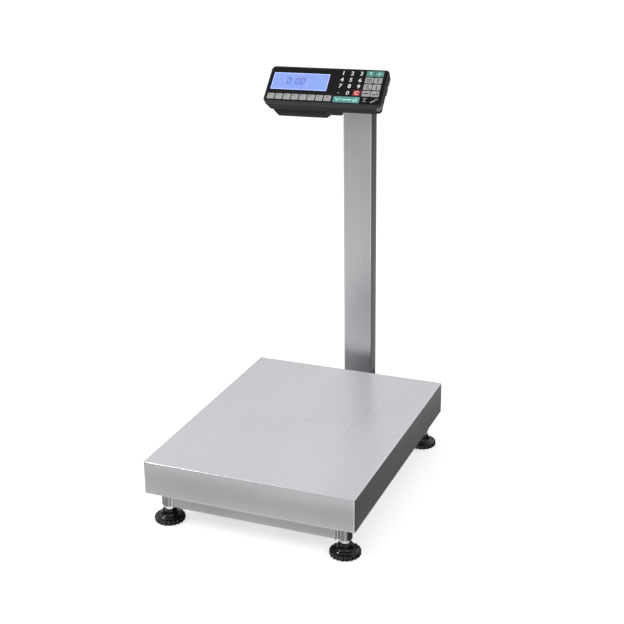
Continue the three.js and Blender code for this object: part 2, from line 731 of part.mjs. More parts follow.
/** The cable's last stretch, from under the tilt screw into the case. */
function terminalCable() {
  const entry = new THREE.Vector3(cableEntry().x, cableEntry().y, -16);
  const inside = entry.clone().setZ(-11);
  const route = [
    new THREE.Vector3(0, -2, PIVOT.z - 10),
    new THREE.Vector3(0, -10, PIVOT.z - 8),
    new THREE.Vector3(0, -20, PIVOT.z + 2),
    entry.applyMatrix4(faceMatrix),
    inside.applyMatrix4(faceMatrix),
  ];
  return hose(new THREE.CatmullRomCurve3(route), CABLE.radius, 16);
}

// ---------------------------------------------------------------- assembly

const scale = new THREE.Group();

const base = new THREE.Group();
base.position.y = PLATTER_Y;
scale.add(base);

add(base, 'frame_front_beam', crossBeam(-1), brushedSteel);
add(base, 'frame_rear_beam', crossBeam(1), brushedSteel);
add(base, 'frame_spine', spine(), brushedSteel);
add(base, 'frame_outrigger', outrigger(), brushedSteel);
add(base, 'outrigger_end_plug', endPlug(), blackNylon);
add(base, 'load_cell', loadCell(), machinedAluminium);
add(base, 'load_cell_cable', cellCable(), cablePvc);
add(base, 'level_vial', levelVial(), vialAcrylic);
add(base, 'column_base_plate', basePlate(), brushedSteel);
add(base, 'column_tube', columnTube(), brushedSteel);
add(base, 'column_cap', columnCap(), blackNylon);
columnBolts().forEach(([x, y], k) => add(base, `column_bolt_${k + 1}`, columnBolt(x, y), zincSteel));
[CELL.near, CELL.far].forEach((y, k) => {
  add(base, `cell_lower_bolt_${k + 1}`, lowerBolt(y), zincSteel);
  add(base, `cell_upper_bolt_${k + 1}`, upperBolt(y), zincSteel);
});

for (const { corner, sx, sy } of CORNERS) {
  add(base, `leg_${corner}`, legBush(sx, sy), brushedSteel);
  add(base, `jam_nut_${corner}`, jamNut(sx, sy), zincSteel);
  add(base, `stop_screw_${corner}`, stopScrew(sx, sy), zincSteel);
  add(base, `foot_stud_${corner}`, footStud(sx, sy), zincSteel);
  add(base, `foot_pad_${corner}`, footPad(sx, sy), blackNylon);
  add(base, `support_pad_${corner}`, supportPad(sx, sy), blackRubber);
}

add(base, 'platform_cross_plate', crossPlate(), brushedSteel);
add(base, 'platform_rail_left', platformRail(-1), brushedSteel);
add(base, 'platform_rail_right', platformRail(1), brushedSteel);
add(base, 'platter', platter(), brushedSteel);

const terminal = new THREE.Group();
terminal.position.y = COLUMN_Y;
terminal.rotation.z = YAW;
scale.add(terminal);

add(terminal, 'swivel_head', swivelHead(), zincSteel);
add(terminal, 'tilt_screw', tiltScrew(), blackNylon);
add(terminal, 'terminal_lower_shell', lowerShell(), shellPlastic);
add(terminal, 'terminal_bezel', bezel(), shellPlastic);
add(terminal, 'keypad_overlay', overlay(), overlayFilm);
add(terminal, 'display_module', display(), displayGlass);
add(terminal, 'main_board', mainBoard(), boardGreen);
add(terminal, 'battery_pack', battery(), batteryWrap);
add(terminal, 'battery_door', batteryDoor(), shellPlastic);
add(terminal, 'socket_panel', socketPanel(), blackNylon);
add(terminal, 'terminal_cable', terminalCable(), cablePvc);

const power = add(terminal, 'power_rocker', rocker(), blackNylon);
power.position.set(ROCKER.x, BOX.rear - 0.8, ROCKER.z);
power.rotation.z = ROCKER.swing;

export default scale;
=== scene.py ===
import json
import math

import bmesh
import bpy
from mathutils import Matrix, Vector


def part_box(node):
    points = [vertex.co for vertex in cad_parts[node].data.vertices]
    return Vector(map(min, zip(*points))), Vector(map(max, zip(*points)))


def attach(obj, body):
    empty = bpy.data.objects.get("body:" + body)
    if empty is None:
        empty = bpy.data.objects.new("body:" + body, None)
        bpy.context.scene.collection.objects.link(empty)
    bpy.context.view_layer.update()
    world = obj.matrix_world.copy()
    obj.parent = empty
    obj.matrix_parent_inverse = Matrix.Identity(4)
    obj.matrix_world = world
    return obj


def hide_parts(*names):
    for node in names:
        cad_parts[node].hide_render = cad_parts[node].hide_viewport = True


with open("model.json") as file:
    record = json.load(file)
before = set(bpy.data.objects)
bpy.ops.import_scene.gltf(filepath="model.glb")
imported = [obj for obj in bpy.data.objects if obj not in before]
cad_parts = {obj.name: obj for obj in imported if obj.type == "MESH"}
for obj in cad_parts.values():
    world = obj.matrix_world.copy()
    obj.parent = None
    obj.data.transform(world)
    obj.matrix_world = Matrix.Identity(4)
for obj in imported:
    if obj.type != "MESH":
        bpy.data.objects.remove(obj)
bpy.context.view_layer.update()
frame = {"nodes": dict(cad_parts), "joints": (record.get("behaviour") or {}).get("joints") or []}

# Shapes are made in millimetres; UNIT turns them into the frame's metres.
MM = 0.001
UNIT = Matrix.Scale(MM, 4)
QUARTER = math.pi / 2
STEEL_GAUGE = 1.5
CABLE_RADIUS = 2.5
M8_RADIUS, M8_PITCH, M8_FLATS = 4.0, 1.25, 13
M12_RADIUS, M12_PITCH, M12_FLATS = 6.0, 1.75, 19


# ---- camera, solved from the photograph's platter, feet and column; angles in degrees

CAMERA_AT = (0.859, -2.1115, 1.1953)
CAMERA_YAW = 22.08
CAMERA_DIP = 20.5
CAMERA_ROLL = -0.79
CAMERA_LENS = 71.26


def make_camera():
    data = bpy.data.cameras.new("camera")
    data.lens = CAMERA_LENS
    data.sensor_width = 36.0
    camera = bpy.data.objects.new("camera", data)
    bpy.context.scene.collection.objects.link(camera)
    yaw, dip, roll = (math.radians(a) for a in (CAMERA_YAW, CAMERA_DIP, CAMERA_ROLL))
    turn = Matrix.Rotation(yaw, 4, "Z") @ Matrix.Rotation(QUARTER - dip, 4, "X")
    camera.matrix_world = Matrix.Translation(CAMERA_AT) @ turn @ Matrix.Rotation(roll, 4, "Z")
    bpy.context.scene.camera = camera


# ---- places


def joint(name):
    return next(j for j in frame["joints"] if j["name"] == name)


def box_mm(node):
    low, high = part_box(node)
    return low / MM, high / MM


def upright_box(node):
    """A node's box, and the middle of its plan at height 0."""
    low, high = box_mm(node)
    return low, high, ((low.x + high.x) / 2, (low.y + high.y) / 2, 0)


# TERMINAL has the tilt axis as its X, and its Z upright, from the floor below the pivot.
# FACE lies in the keypad's plane, from the middle of its upper edge, its Z out of the face.
PIVOT = Vector(joint("terminal_tilt")["pos_m"])
PIVOT_AXIS = Vector(joint("terminal_tilt")["axis"])
TERMINAL = Matrix.Translation((PIVOT.x, PIVOT.y, 0)) @ Matrix.Rotation(
    math.atan2(PIVOT_AXIS.y, PIVOT_AXIS.x), 4, "Z"
)
FACE_TILT = math.radians(41)
FACE_ORIGIN = Vector((-60.8, -6.7, 775)) * MM
FACE = TERMINAL @ Matrix.Translation(FACE_ORIGIN) @ Matrix.Rotation(FACE_TILT, 4, "X")
CORNERS = ("front_left", "front_right", "rear_left", "rear_right")


# ---- mesh making


class Shape:
    """Vertices in millimetres, and faces."""

    def __init__(self):
        self.points = []
        self.faces = []

    def add(self, points, faces):
        start = len(self.points)
        self.points += [tuple(p) for p in points]
        self.faces += [[start + k for k in face] for face in faces]
        return self

    def join(self, other):
        return self.add(other.points, other.faces)

    def loft(self, rings, closed=False):
        """A skin over rings of equally many points, capped at its ends unless it closes."""
        count = len(rings[0])
        faces = []
        last = len(rings) if closed else len(rings) - 1
        for r in range(last):
            here, there = r * count, ((r + 1) % len(rings)) * count
            for k in range(count):
                j = (k + 1) % count
                faces.append([here + k, here + j, there + j, there + k])
        if not closed:
            faces.append(list(range(count))[::-1])
            faces.append([last * count + k for k in range(count)])
        return self.add([p for ring in rings for p in ring], faces)

    def lathe(self, profile, sides, centre=(0, 0, 0), wobble=None, closed=False):
        """Turns (radius, height) pairs round the vertical; wobble changes a radius by its angle."""
        rings = []
        for radius, height in profile:
            reach = (lambda angle: wobble(radius, height, angle)) if wobble else (lambda angle: radius)
            rings.append(circle(centre, reach, height, sides))
        return self.loft(rings, closed)

    def moved(self, matrix):
        self.points = [tuple(matrix @ Vector(p)) for p in self.points]
        return self


def together(shapes):
    whole = Shape()
    for shape in shapes:
        whole.join(shape)
    return whole


def circle(centre, reach, height, sides=72):
    """Points round a centre; reach gives the radius at an angle."""
    ring = []
    for k in range(sides):
        angle = 2 * math.pi * k / sides
        radius = reach(angle)
        ring.append((centre[0] + radius * math.cos(angle), centre[1] + radius * math.sin(angle),
                     centre[2] + height))
    return ring


def rounded(width, height, radius, segments=6, centre=(0, 0)):
    """A rounded rectangle's outline, anticlockwise."""
    outline = []
    for k, (sx, sy) in enumerate(((1, 1), (-1, 1), (-1, -1), (1, -1))):
        x = centre[0] + sx * (width / 2 - radius)
        y = centre[1] + sy * (height / 2 - radius)
        for s in range(segments + 1):
            angle = (k + s / segments) * QUARTER
            outline.append((x + radius * math.cos(angle), y + radius * math.sin(angle)))
    return outline


def arc(centre, radius, start, end, steps):
    """Points on an arc, its angles in degrees."""
    points = []
    for s in range(steps + 1):
        a = math.radians(start + (end - start) * s / steps)
        points.append((centre[0] + radius * math.cos(a), centre[1] + radius * math.sin(a)))
    return points


def at_height(outline, z):
    return [(x, y, z) for x, y in outline]


def slab(outline, low, high, edge):
    """A flat piece, rounded above and below. The outline is (width, height, radius, centre)."""
    width, height, radius, centre = outline
    steps = 3
    rings = []
    for z, side in ((low + edge, -1), (high - edge, 1)):
        sweep = range(steps + 1) if side > 0 else range(steps, -1, -1)
        for s in sweep:
            a = s / steps * QUARTER
            inset = edge * (1 - math.cos(a))
            ring = rounded(width - 2 * inset, height - 2 * inset, max(radius - inset, 0.05), 6, centre)
            rings.append(at_height(ring, z + side * edge * math.sin(a)))
    return Shape().loft(rings)


def prism(points, axis, low, high, bevel=0.0, segments=3):
    """A polygon extruded along an axis, with every edge rounded."""
    bm = bmesh.new()
    place = {
        "X": lambda u, v, w: (w, u, v),
        "Y": lambda u, v, w: (u, w, v),
        "Z": lambda u, v, w: (u, v, w),
    }[axis]
    rings = [[bm.verts.new(place(u, v, w)) for u, v in points] for w in (low, high)]
    count = len(points)
    bm.faces.new(rings[0][::-1])
    bm.faces.new(rings[1])
    for k in range(count):
        j = (k + 1) % count
        bm.faces.new([rings[0][k], rings[0][j], rings[1][j], rings[1][k]])
    bmesh.ops.recalc_face_normals(bm, faces=bm.faces)
    if bevel:
        edges = [e for e in bm.edges if e.calc_face_angle(0) > math.radians(14)]
        bmesh.ops.bevel(bm, geom=edges, offset=bevel, segments=segments, profile=0.5, affect="EDGES")
    bm.verts.index_update()
    shape = Shape().add([v.co[:] for v in bm.verts], [[v.index for v in f.verts] for f in bm.faces])
    bm.free()
    return shape


def block(x, y, z, bevel=0.0, segments=3):
    return prism([(x[0], y[0]), (x[1], y[0]), (x[1], y[1]), (x[0], y[1])], "Z", z[0], z[1], bevel, segments)


def tube(path, radius, sides, closed=False, ripple=None):
    """A round tube along a path; ripple gives the radius at each of its points."""
    rings = []
    count = len(path)
    points = [Vector(p) for p in path]
    normal = None
    for k, p in enumerate(points):
        before = points[k - 1] if (k or closed) else p
        after = points[(k + 1) % count] if (k < count - 1 or closed) else p
        along = (after - before).normalized()
        if normal is None:
            normal = along.orthogonal().normalized()
        normal = (normal - along * normal.dot(along)).normalized()
        side = along.cross(normal)
        reach = ripple(k) if ripple else radius
        ring = []
        for s in range(sides):
            a = 2 * math.pi * s / sides
            ring.append(tuple(p + normal * reach * math.cos(a) + side * reach * math.sin(a)))
        rings.append(ring)
    return Shape().loft(rings, closed=closed)


def smooth_path(points, steps):
    """A curve through the points, with the given number of steps between each two."""
    pts = [Vector(p) for p in points]
    pts = [2 * pts[0] - pts[1], *pts, 2 * pts[-1] - pts[-2]]
    path = []
    for k in range(1, len(pts) - 2):
        a, b, c, d = pts[k - 1 : k + 3]
        for s in range(steps):
            t = s / steps
            path.append(
                0.5 * (2 * b + (c - a) * t + (2 * a - 5 * b + 4 * c - d) * t * t
                       + (3 * b - a - 3 * c + d) * t ** 3)
            )
    path.append(pts[-2])
    return path


def to_mesh(name, shape, matrix):
    mesh = bpy.data.meshes.new(name)
    place = matrix @ UNIT
    mesh.from_pydata([place @ Vector(p) for p in shape.points], [], shape.faces)
    bm = bmesh.new()
    bm.from_mesh(mesh)
    bmesh.ops.recalc_face_normals(bm, faces=bm.faces)
    bm.to_mesh(mesh)
    bm.free()
    return mesh


def piece(name, made, material, body, nodes=(), matrix=None, sharp=35):
    """Links a mesh or shape as a piece that rides on a body and stands for the CAD nodes."""
    mesh = made if isinstance(made, bpy.types.Mesh) else to_mesh(name, made, matrix or Matrix())
    mesh.name = name
    mesh.materials.append(material)
    mesh.shade_smooth()
    mesh.set_sharp_from_angle(angle=math.radians(sharp))
    thing = bpy.data.objects.new(name, mesh)
    bpy.context.scene.collection.objects.link(thing)
    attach(thing, body)
    if nodes:
        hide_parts(*nodes)
    return thing


def soften(thing, width, angle):
    """Rounds a piece's hard edges, its width in millimetres."""
    bevel = thing.modifiers.new("rounded_edges", "BEVEL")
    bevel.width = width * MM
    bevel.segments = 2
    bevel.limit_method = "ANGLE"
    bevel.angle_limit = math.radians(angle)
    bevel.use_clamp_overlap = True
    bevel.harden_normals = True
    return thing


def node_mesh(node, name):
    """A copy of a CAD node's mesh, with its flat faces whole again."""
    mesh = frame["nodes"][node].data.copy()
    mesh.name = name
    mesh.materials.clear()
    bm = bmesh.new()
    bm.from_mesh(mesh)
    bmesh.ops.remove_doubles(bm, verts=bm.verts, dist=1e-6)
    flat = math.radians(0.6)
    bmesh.ops.dissolve_limit(bm, angle_limit=flat, verts=bm.verts, edges=bm.edges)
    bmesh.ops.recalc_face_normals(bm, faces=bm.faces)
    bm.to_mesh(mesh)
    bm.free()
    return mesh


def refined(node, material, body, width, sharp=50):
    """A CAD node's shape as a piece with rounded edges."""
    name = f"{node}_body"
    thing = piece(name, node_mesh(node, name), material, body, [node], sharp=sharp)
    return soften(thing, width, sharp)


def boolean(base, others, operation):
    """A new shape: the base joined with, cut by or kept inside the others."""

    def temporary(shape):
        mesh = to_mesh("temporary", shape, Matrix.Scale(1 / MM, 4))
        thing = bpy.data.objects.new("temporary", mesh)
        bpy.context.scene.collection.objects.link(thing)
        return thing

    target = temporary(base)
    tools = [temporary(other) for other in others]
    for tool in tools:
        cut = target.modifiers.new("cut", "BOOLEAN")
        cut.operation = operation
        cut.solver = "EXACT"
        cut.object = tool
    bpy.context.view_layer.update()
    evaluated = target.evaluated_get(bpy.context.evaluated_depsgraph_get())
    mesh = evaluated.to_mesh()
    result = Shape().add([v.co[:] for v in mesh.vertices], [list(p.vertices) for p in mesh.polygons])
    evaluated.to_mesh_clear()
    for thing in [target, *tools]:
        bpy.data.objects.remove(thing)
    return result


# ---- fasteners


def hex_radius(flats, angle):
    sixth = math.pi / 3
    return flats / 2 / math.cos((angle + sixth / 2) % sixth - sixth / 2)


def hexagon(flats, low, high, centre, chamfer=0.9, bore=None):
    """A nut or a bolt's head: a hexagon with turned corners, bored or not."""
    corner = flats / math.sqrt(3)
    levels = [
        (low, flats * 0.475), (low + chamfer * 0.45, flats * 0.52), (low + chamfer, corner),
        (high - chamfer, corner), (high - chamfer * 0.45, flats * 0.52), (high, flats * 0.475),
    ]
    rings = [circle(centre, lambda angle: min(hex_radius(flats, angle), limit), height)
             for height, limit in levels]
    if bore:
        rings += [circle(centre, lambda angle: reach, height) for height, reach in (
            (high, bore + 0.8), (high - 0.8, bore), (low + 0.8, bore), (low, bore + 0.8))]
    return Shape().loft(rings, closed=bool(bore))


def thread(radius, pitch, low, high, centre, sides):
    """A threaded rod: its radius follows a helix."""
    rows = max(4, round((high - low) / pitch * 6))

    def wobble(reach, height, angle):
        phase = (height / pitch - angle / (2 * math.pi)) % 1
        groove = 0.55 * pitch * min(1, 2.2 * abs(phase - 0.5))
        return reach - groove if reach > radius * 0.9 else reach

    profile = [(radius * 0.8, low)]
    profile += [(radius, low + 0.6 + (high - low - 1.2) * k / rows) for k in range(rows + 1)]
    profile.append((radius * 0.8, high))
    return Shape().lathe(profile, sides, centre, wobble)


def bead(path, radius, seed, closed):
    """A weld bead: a tube with the ripples of its pool."""

    def ripple(k):
        return radius * (0.86 + 0.14 * abs(math.sin(1.1 * k + seed)) + 0.06 * math.sin(0.37 * k + seed))

    return tube(path, radius, 10, closed, ripple)


def m8_bolt(name, node, body, head, lap, under=False):
    """An M8 bolt that stands for a node: its head on top or underneath, lapped by its thread."""
    low, high, centre = upright_box(node)
    if under:
        shape = hexagon(M8_FLATS, low.z, low.z + head, centre)
        shape.join(thread(M8_RADIUS, M8_PITCH, low.z + head - lap, high.z, centre, 24))
    else:
        shape = hexagon(M8_FLATS, high.z - head, high.z, centre)
        shape.join(thread(M8_RADIUS, M8_PITCH, low.z, high.z - head + lap, centre, 24))
    piece(name, shape, ZINC, body, [node], sharp=25)


def densely(points, step):
    """The closed outline's points, one every step of its length."""
    result = []
    for a, b in zip(points, points[1:] + points[:1]):
        a, b = Vector(a), Vector(b)
        count = max(1, round((b - a).length / step))
        result += [tuple(a.lerp(b, k / count)) for k in range(count)]
    return result


# ---- materials


class Nodes:
    """A node tree, with short ways to add to it."""

    def __init__(self, tree, coordinate):
        self.tree = tree
        self.place = self.node("ShaderNodeTexCoord").outputs[coordinate]

    def node(self, kind, inputs=None, **settings):
        node = self.tree.nodes.new(kind)
        for key, value in settings.items():
            setattr(node, key, value)
        for key, value in (inputs or {}).items():
            self.put(node.inputs[key], value)
        return node

    def put(self, socket, value):
        if isinstance(value, bpy.types.NodeSocket):
            self.tree.links.new(value, socket)
        else:
            socket.default_value = value

    def math(self, operation, a, b, c=0.0):
        return self.node("ShaderNodeMath", {0: a, 1: b, 2: c}, operation=operation).outputs[0]

    def span(self, value, low, high, to_low=0.0, to_high=1.0, **settings):
        return self.node("ShaderNodeMapRange", {
            "Value": value, "From Min": low, "From Max": high, "To Min": to_low, "To Max": to_high,
        }, **settings).outputs["Result"]

    def blend(self, share, a, b, mode="MIX"):
        node = self.node("ShaderNodeMix", data_type="RGBA", blend_type=mode)
        self.put(node.inputs["Factor"], share)
        self.put(node.inputs["A"], a if isinstance(a, bpy.types.NodeSocket) else (*a, 1))
        self.put(node.inputs["B"], b if isinstance(b, bpy.types.NodeSocket) else (*b, 1))
        return node.outputs["Result"]


class Paint(Nodes):
    """A material's node tree."""

    def __init__(self, name):
        self.material = bpy.data.materials.new(name)
        self.material.use_nodes = True
        super().__init__(self.material.node_tree, "Object")
        self.surface = self.tree.nodes["Principled BSDF"]

    def done(self, **inputs):
        """Sets the surface's inputs and gives the finished material."""
        names = {"color": "Base Color", "metal": "Metallic", "rough": "Roughness", "normal": "Normal",
                 "coat": "Coat Weight", "glow": "Emission Color", "glow_strength": "Emission Strength",
                 "specular": "Specular IOR Level", "ior": "IOR", "clear": "Transmission Weight",
                 "anisotropic": "Anisotropic"}
        for key, value in inputs.items():
            self.put(self.surface.inputs[names[key]], value)
        return self.material

    def vary(self, value, a, b, low=0.3, high=0.7, most=1.0):
        """From a to b as a value goes from low to high."""
        return self.blend(self.span(value, low, high, 0.0, most), a, b)

    def noise(self, scale, detail=3.0, stretch=None, rough=0.55, turn=(0, 0, 0)):
        vector = self.place
        if stretch or any(turn):
            vector = self.node("ShaderNodeMapping", {
                "Vector": vector, "Scale": stretch or (1, 1, 1), "Rotation": turn,
            }).outputs[0]
        return self.node("ShaderNodeTexNoise", {
            "Vector": vector, "Scale": scale, "Detail": detail, "Roughness": rough,
        }).outputs["Fac"]

    def cells(self, scale):
        return self.node("ShaderNodeTexVoronoi", {"Vector": self.place, "Scale": scale}).outputs["Distance"]

    def bump(self, height, strength, distance, before=None):
        inputs = {"Height": height, "Strength": strength, "Distance": distance}
        if before:
            inputs["Normal"] = before
        return self.node("ShaderNodeBump", inputs).outputs["Normal"]

    def edge(self):
        """How far a point stands out on an edge, from 0 to 1."""
        return self.span(self.node("ShaderNodeNewGeometry").outputs["Pointiness"], 0.5, 0.58)


def shade(colour, factor):
    return tuple(min(1.0, c * factor) for c in colour)


def brushed(name, grain, colour=(0.66, 0.655, 0.67), rough=0.3, clouds=1.0, grain_rough=0.13, contrast=1.0):
    """Brushed sheet steel, its grain along an axis: drawn lines, cloudy polish, a few scratches."""
    paint = Paint(name)
    along = [1 if axis == grain else 260 for axis in "XYZ"]
    fine = paint.noise(9.0, 4.0, along, 0.7)
    coarse = paint.noise(4.0, 2.0, [a / (3 if a > 1 else 1) for a in along], 0.6)
    cloud = paint.noise(5.5, 4.0, rough=0.6)
    smear = paint.noise(2.4, 3.0, [0.5 if axis == grain else 3.0 for axis in "XYZ"], 0.5)
    scratch = paint.span(paint.noise(3.0, 2.0, [3 if a == 1 else 190 for a in along], 0.5,
                                     (0.05, 0.09, 0.07)), 0.66, 0.72)
    lines = paint.math("MULTIPLY_ADD", coarse, 0.45, paint.math("MULTIPLY", fine, 0.55))
    tone = paint.span(paint.math("ADD", cloud, smear), 0.8, 1.2, 1 - 0.05 * clouds, 1 + 0.04 * clouds)
    line_tone = paint.span(lines, 0.3, 0.7, 1 - 0.05 * contrast, 1 + 0.04 * contrast)
    value = paint.math("MULTIPLY", tone, line_tone)
    base = paint.blend(1.0, colour, paint.node("ShaderNodeCombineColor", {
        0: value, 1: value, 2: value}).outputs[0], "MULTIPLY")
    base = paint.blend(paint.math("MULTIPLY", scratch, 0.12 * contrast), base, shade(colour, 1.25))
    roughness = paint.math("MULTIPLY_ADD", lines, grain_rough, rough - grain_rough / 2)
    roughness = paint.math("SUBTRACT", roughness, 0.07 * clouds)
    roughness = paint.math("MULTIPLY_ADD", cloud, 0.14 * clouds, roughness)
    roughness = paint.math("MULTIPLY_ADD", scratch, 0.08 * contrast, roughness)
    drawn = paint.bump(lines, 0.35 * contrast, 0.00004)
    wave = paint.bump(paint.noise(3.0, 1.0), 0.10 * contrast, 0.004, drawn)
    return paint.done(color=base, metal=1.0, rough=roughness, normal=wave, anisotropic=0.3)


def zinc(name):
    """Zinc plate: a faint blue and yellow bloom, and a crystalline skin."""
    paint = Paint(name)
    bloom = paint.noise(45.0, 3.0)
    grains = paint.cells(900.0)
    colour = paint.vary(bloom, (0.70, 0.72, 0.76), (0.80, 0.77, 0.68), 0.35, 0.65)
    colour = paint.vary(paint.noise(16.0, 4.0), colour, (0.42, 0.42, 0.43), 0.55, 0.75, 0.4)
    rough = paint.math("MULTIPLY_ADD", grains, 0.18, 0.2)
    return paint.done(color=colour, metal=1.0, rough=rough, normal=paint.bump(grains, 0.12, 0.0001))


def milled(name):
    """Milled and anodised aluminium: close cutter marks across the block."""
    paint = Paint(name)
    marks = paint.node("ShaderNodeTexWave", {
        "Vector": paint.place, "Scale": 220.0, "Distortion": 1.2, "Detail": 2.0},
        bands_direction="Y").outputs["Fac"]
    cloud = paint.noise(14.0)
    colour = paint.vary(cloud, (0.76, 0.77, 0.79), (0.68, 0.69, 0.71))
    rough = paint.math("MULTIPLY_ADD", marks, 0.1, 0.3)
    return paint.done(color=colour, metal=1.0, rough=rough, normal=paint.bump(marks, 0.12, 0.00005))


def weld_steel(name):
    """A weld bead: bright metal with straw and blue heat tints."""
    paint = Paint(name)
    tint = paint.noise(60.0, 3.0)
    colour = paint.vary(tint, (0.60, 0.595, 0.59), (0.64, 0.62, 0.58), 0.35, 0.6)
    colour = paint.vary(paint.noise(25.0), colour, (0.38, 0.42, 0.55), 0.55, 0.7, 0.5)
    return paint.done(color=colour, metal=1.0, rough=paint.span(tint, 0.3, 0.7, 0.22, 0.42),
                      normal=paint.bump(paint.noise(700.0, 4.0), 0.25, 0.0002))


def plastic(name, colour, rough, texture, scale, grain=0.06, painted_edge_highlight=0.25, gloss=0.5):
    """Moulded plastic: a spark-eroded texture, a little dust, and a painted highlight that makes its edges
    paler.
    """
    paint = Paint(name)
    pits = paint.noise(scale, 3.0, rough=0.6)
    leather = paint.cells(scale * 0.55)
    flow = paint.noise(9.0, 4.0)
    base = paint.vary(flow, shade(colour, 0.9), shade(colour, 1.12))
    dust = paint.span(paint.noise(26.0, 5.0, rough=0.7), 0.58, 0.8, 0.0, 0.16)
    base = paint.blend(dust, base, tuple(min(1.0, c * 1.5 + 0.02) for c in colour))
    # Painted highlight: sharp edges, found by pointiness, are blended towards a paler colour as if they
    # caught the light.
    base = paint.blend(paint.math("MULTIPLY", paint.edge(), painted_edge_highlight), base,
                       tuple(min(1.0, c * 2.2 + 0.03) for c in colour))
    skin = paint.math("ADD", pits, paint.math("MULTIPLY", leather, 0.7))
    roughness = paint.math("MULTIPLY_ADD", flow, 0.1, rough - 0.05 - grain / 2)
    roughness = paint.math("MULTIPLY_ADD", pits, grain, roughness)
    return paint.done(color=base, rough=roughness, normal=paint.bump(skin, texture, 0.00012), specular=gloss)


def rubber(name):
    paint = Paint(name)
    fine = paint.noise(900.0, 4.0)
    bloom = paint.span(paint.noise(30.0, 4.0), 0.45, 0.75)
    colour = paint.blend(bloom, (0.018, 0.018, 0.020), (0.045, 0.044, 0.042))
    return paint.done(color=colour, rough=paint.math("MULTIPLY_ADD", fine, 0.15, 0.68),
                      normal=paint.bump(fine, 0.4, 0.0002), specular=0.35)


def film(name, colour, rough, tone=0.06, glow=0.0, gloss=0.12):
    """Printed polyester film: a fine matt coat, slight orange peel, and wiped marks."""
    paint = Paint(name)
    peel = paint.noise(260.0, 2.0)
    matt = paint.noise(2200.0, 2.0)
    wipe = paint.noise(18.0, 4.0, (1.0, 3.0, 1.0), 0.65)
    base = paint.vary(wipe, shade(colour, 1 - tone), shade(colour, 1 + tone))
    roughness = paint.math("MULTIPLY_ADD", matt, 0.08, rough - 0.12)
    roughness = paint.math("MULTIPLY_ADD", wipe, 0.16, roughness)
    skin = paint.bump(matt, 0.05, 0.00005, paint.bump(peel, 0.06, 0.0003))
    light = {"glow": base, "glow_strength": glow} if glow else {}
    return paint.done(color=base, rough=roughness, normal=skin, specular=gloss, **light)


def liquid_crystal(name):
    """The display's lit field: brighter by its lamp and rim, with the glass's faint mottle."""
    paint = Paint(name)
    mottle = paint.noise(55.0, 3.0, (1.0, 1.0, 1.0), 0.6)
    drift = paint.noise(12.0, 2.0)
    colour = paint.vary(mottle, (0.20, 0.285, 0.76), (0.26, 0.35, 0.80))
    colour = paint.vary(drift, colour, (0.235, 0.365, 0.81), 0.35, 0.7)
    return paint.done(color=paint.blend(1.0, colour, (0.25, 0.25, 0.25), "MULTIPLY"),
                      glow=colour, glow_strength=0.86, rough=paint.math("MULTIPLY_ADD", mottle, 0.1, 0.08),
                      normal=paint.bump(paint.noise(300.0), 0.03, 0.0002))


def board_mask(name):
    """A circuit board's green mask over copper tracks."""
    paint = Paint(name)
    tracks = paint.node("ShaderNodeTexBrick", {
        "Vector": paint.place, "Scale": 120.0, "Mortar Size": 0.05}).outputs["Fac"]
    colour = paint.blend(tracks, (0.015, 0.14, 0.05), (0.03, 0.24, 0.08))
    colour = paint.vary(paint.noise(30.0), colour, (0.02, 0.10, 0.05), 0.4, 0.8, 0.3)
    return paint.done(color=colour, rough=0.35, normal=paint.bump(tracks, 0.2, 0.0001), coat=0.3)


def shrink_wrap(name):
    paint = Paint(name)
    folds = paint.noise(60.0, 4.0, (1.0, 4.0, 4.0))
    colour = paint.vary(folds, (0.012, 0.055, 0.22), (0.03, 0.10, 0.34))
    return paint.done(color=colour, rough=paint.math("MULTIPLY_ADD", folds, 0.2, 0.22),
                      normal=paint.bump(folds, 0.35, 0.0012))


def clear_plastic(name, colour, clear=0.9):
    """Clear acrylic or the liquid under it, with fine surface scratches."""
    paint = Paint(name)
    marks = paint.noise(300.0, 4.0)
    tint = paint.vary(paint.noise(40.0), shade(colour, 0.92), colour)
    return paint.done(color=tint, rough=paint.math("MULTIPLY_ADD", marks, 0.06, 0.03),
                      normal=paint.bump(marks, 0.03, 0.0001), clear=clear, ior=1.49)


STEEL_X = brushed("steel_grain_across", "X", (0.55, 0.545, 0.555))
STEEL_Y = brushed("steel_grain_deep", "Y")
STEEL_Z = brushed("steel_grain_upright", "Z", rough=0.32)
# Painted shade: the legs get a darker copy of the brushed steel, so they look shaded below the platter.
STEEL_LEG_PAINTED_SHADE = brushed("steel_leg_painted_shade", "Z", (0.33, 0.33, 0.335), 0.26)
STEEL_TOP = brushed("steel_platter", "Y", (0.66, 0.655, 0.675), 0.28, 0.6, 0.06, 0.3)
ZINC = zinc("zinc_plate")
CELL_ALLOY = milled("milled_aluminium")
WELD = weld_steel("weld_bead")
NYLON = plastic("black_nylon", (0.0025, 0.0025, 0.003), 0.17, 0.05, 700.0, 0.05, 0.03, 0.4)
MATT_NYLON = plastic("black_moulded_part", (0.018, 0.018, 0.02), 0.45, 0.25, 1500.0)
SHELL = plastic("shell_plastic", (0.019, 0.0185, 0.019), 0.5, 0.3, 1400.0, 0.08, 0.5, 0.18)
GRIP = plastic("grip_plastic", (0.15, 0.15, 0.15), 0.45, 0.2, 1200.0)
RUBBER = rubber("support_rubber")
FILM = film("overlay_black", (0.0055, 0.0055, 0.0065), 0.36, 0.15, gloss=0.08)
KEY_GREY = film("key_grey", (0.32, 0.32, 0.31), 0.4)
KEY_TEAL = film("key_teal", (0.105, 0.275, 0.255), 0.4)
KEY_DEEP_TEAL = film("key_deep_teal", (0.085, 0.215, 0.19), 0.4)
KEY_RED = film("key_red", (0.27, 0.035, 0.037), 0.4)
INK_WHITE = film("ink_white", (0.74, 0.74, 0.73), 0.4, 0.03)
INK_PALE = film("ink_pale_teal", (0.42, 0.80, 0.74), 0.4, 0.04)
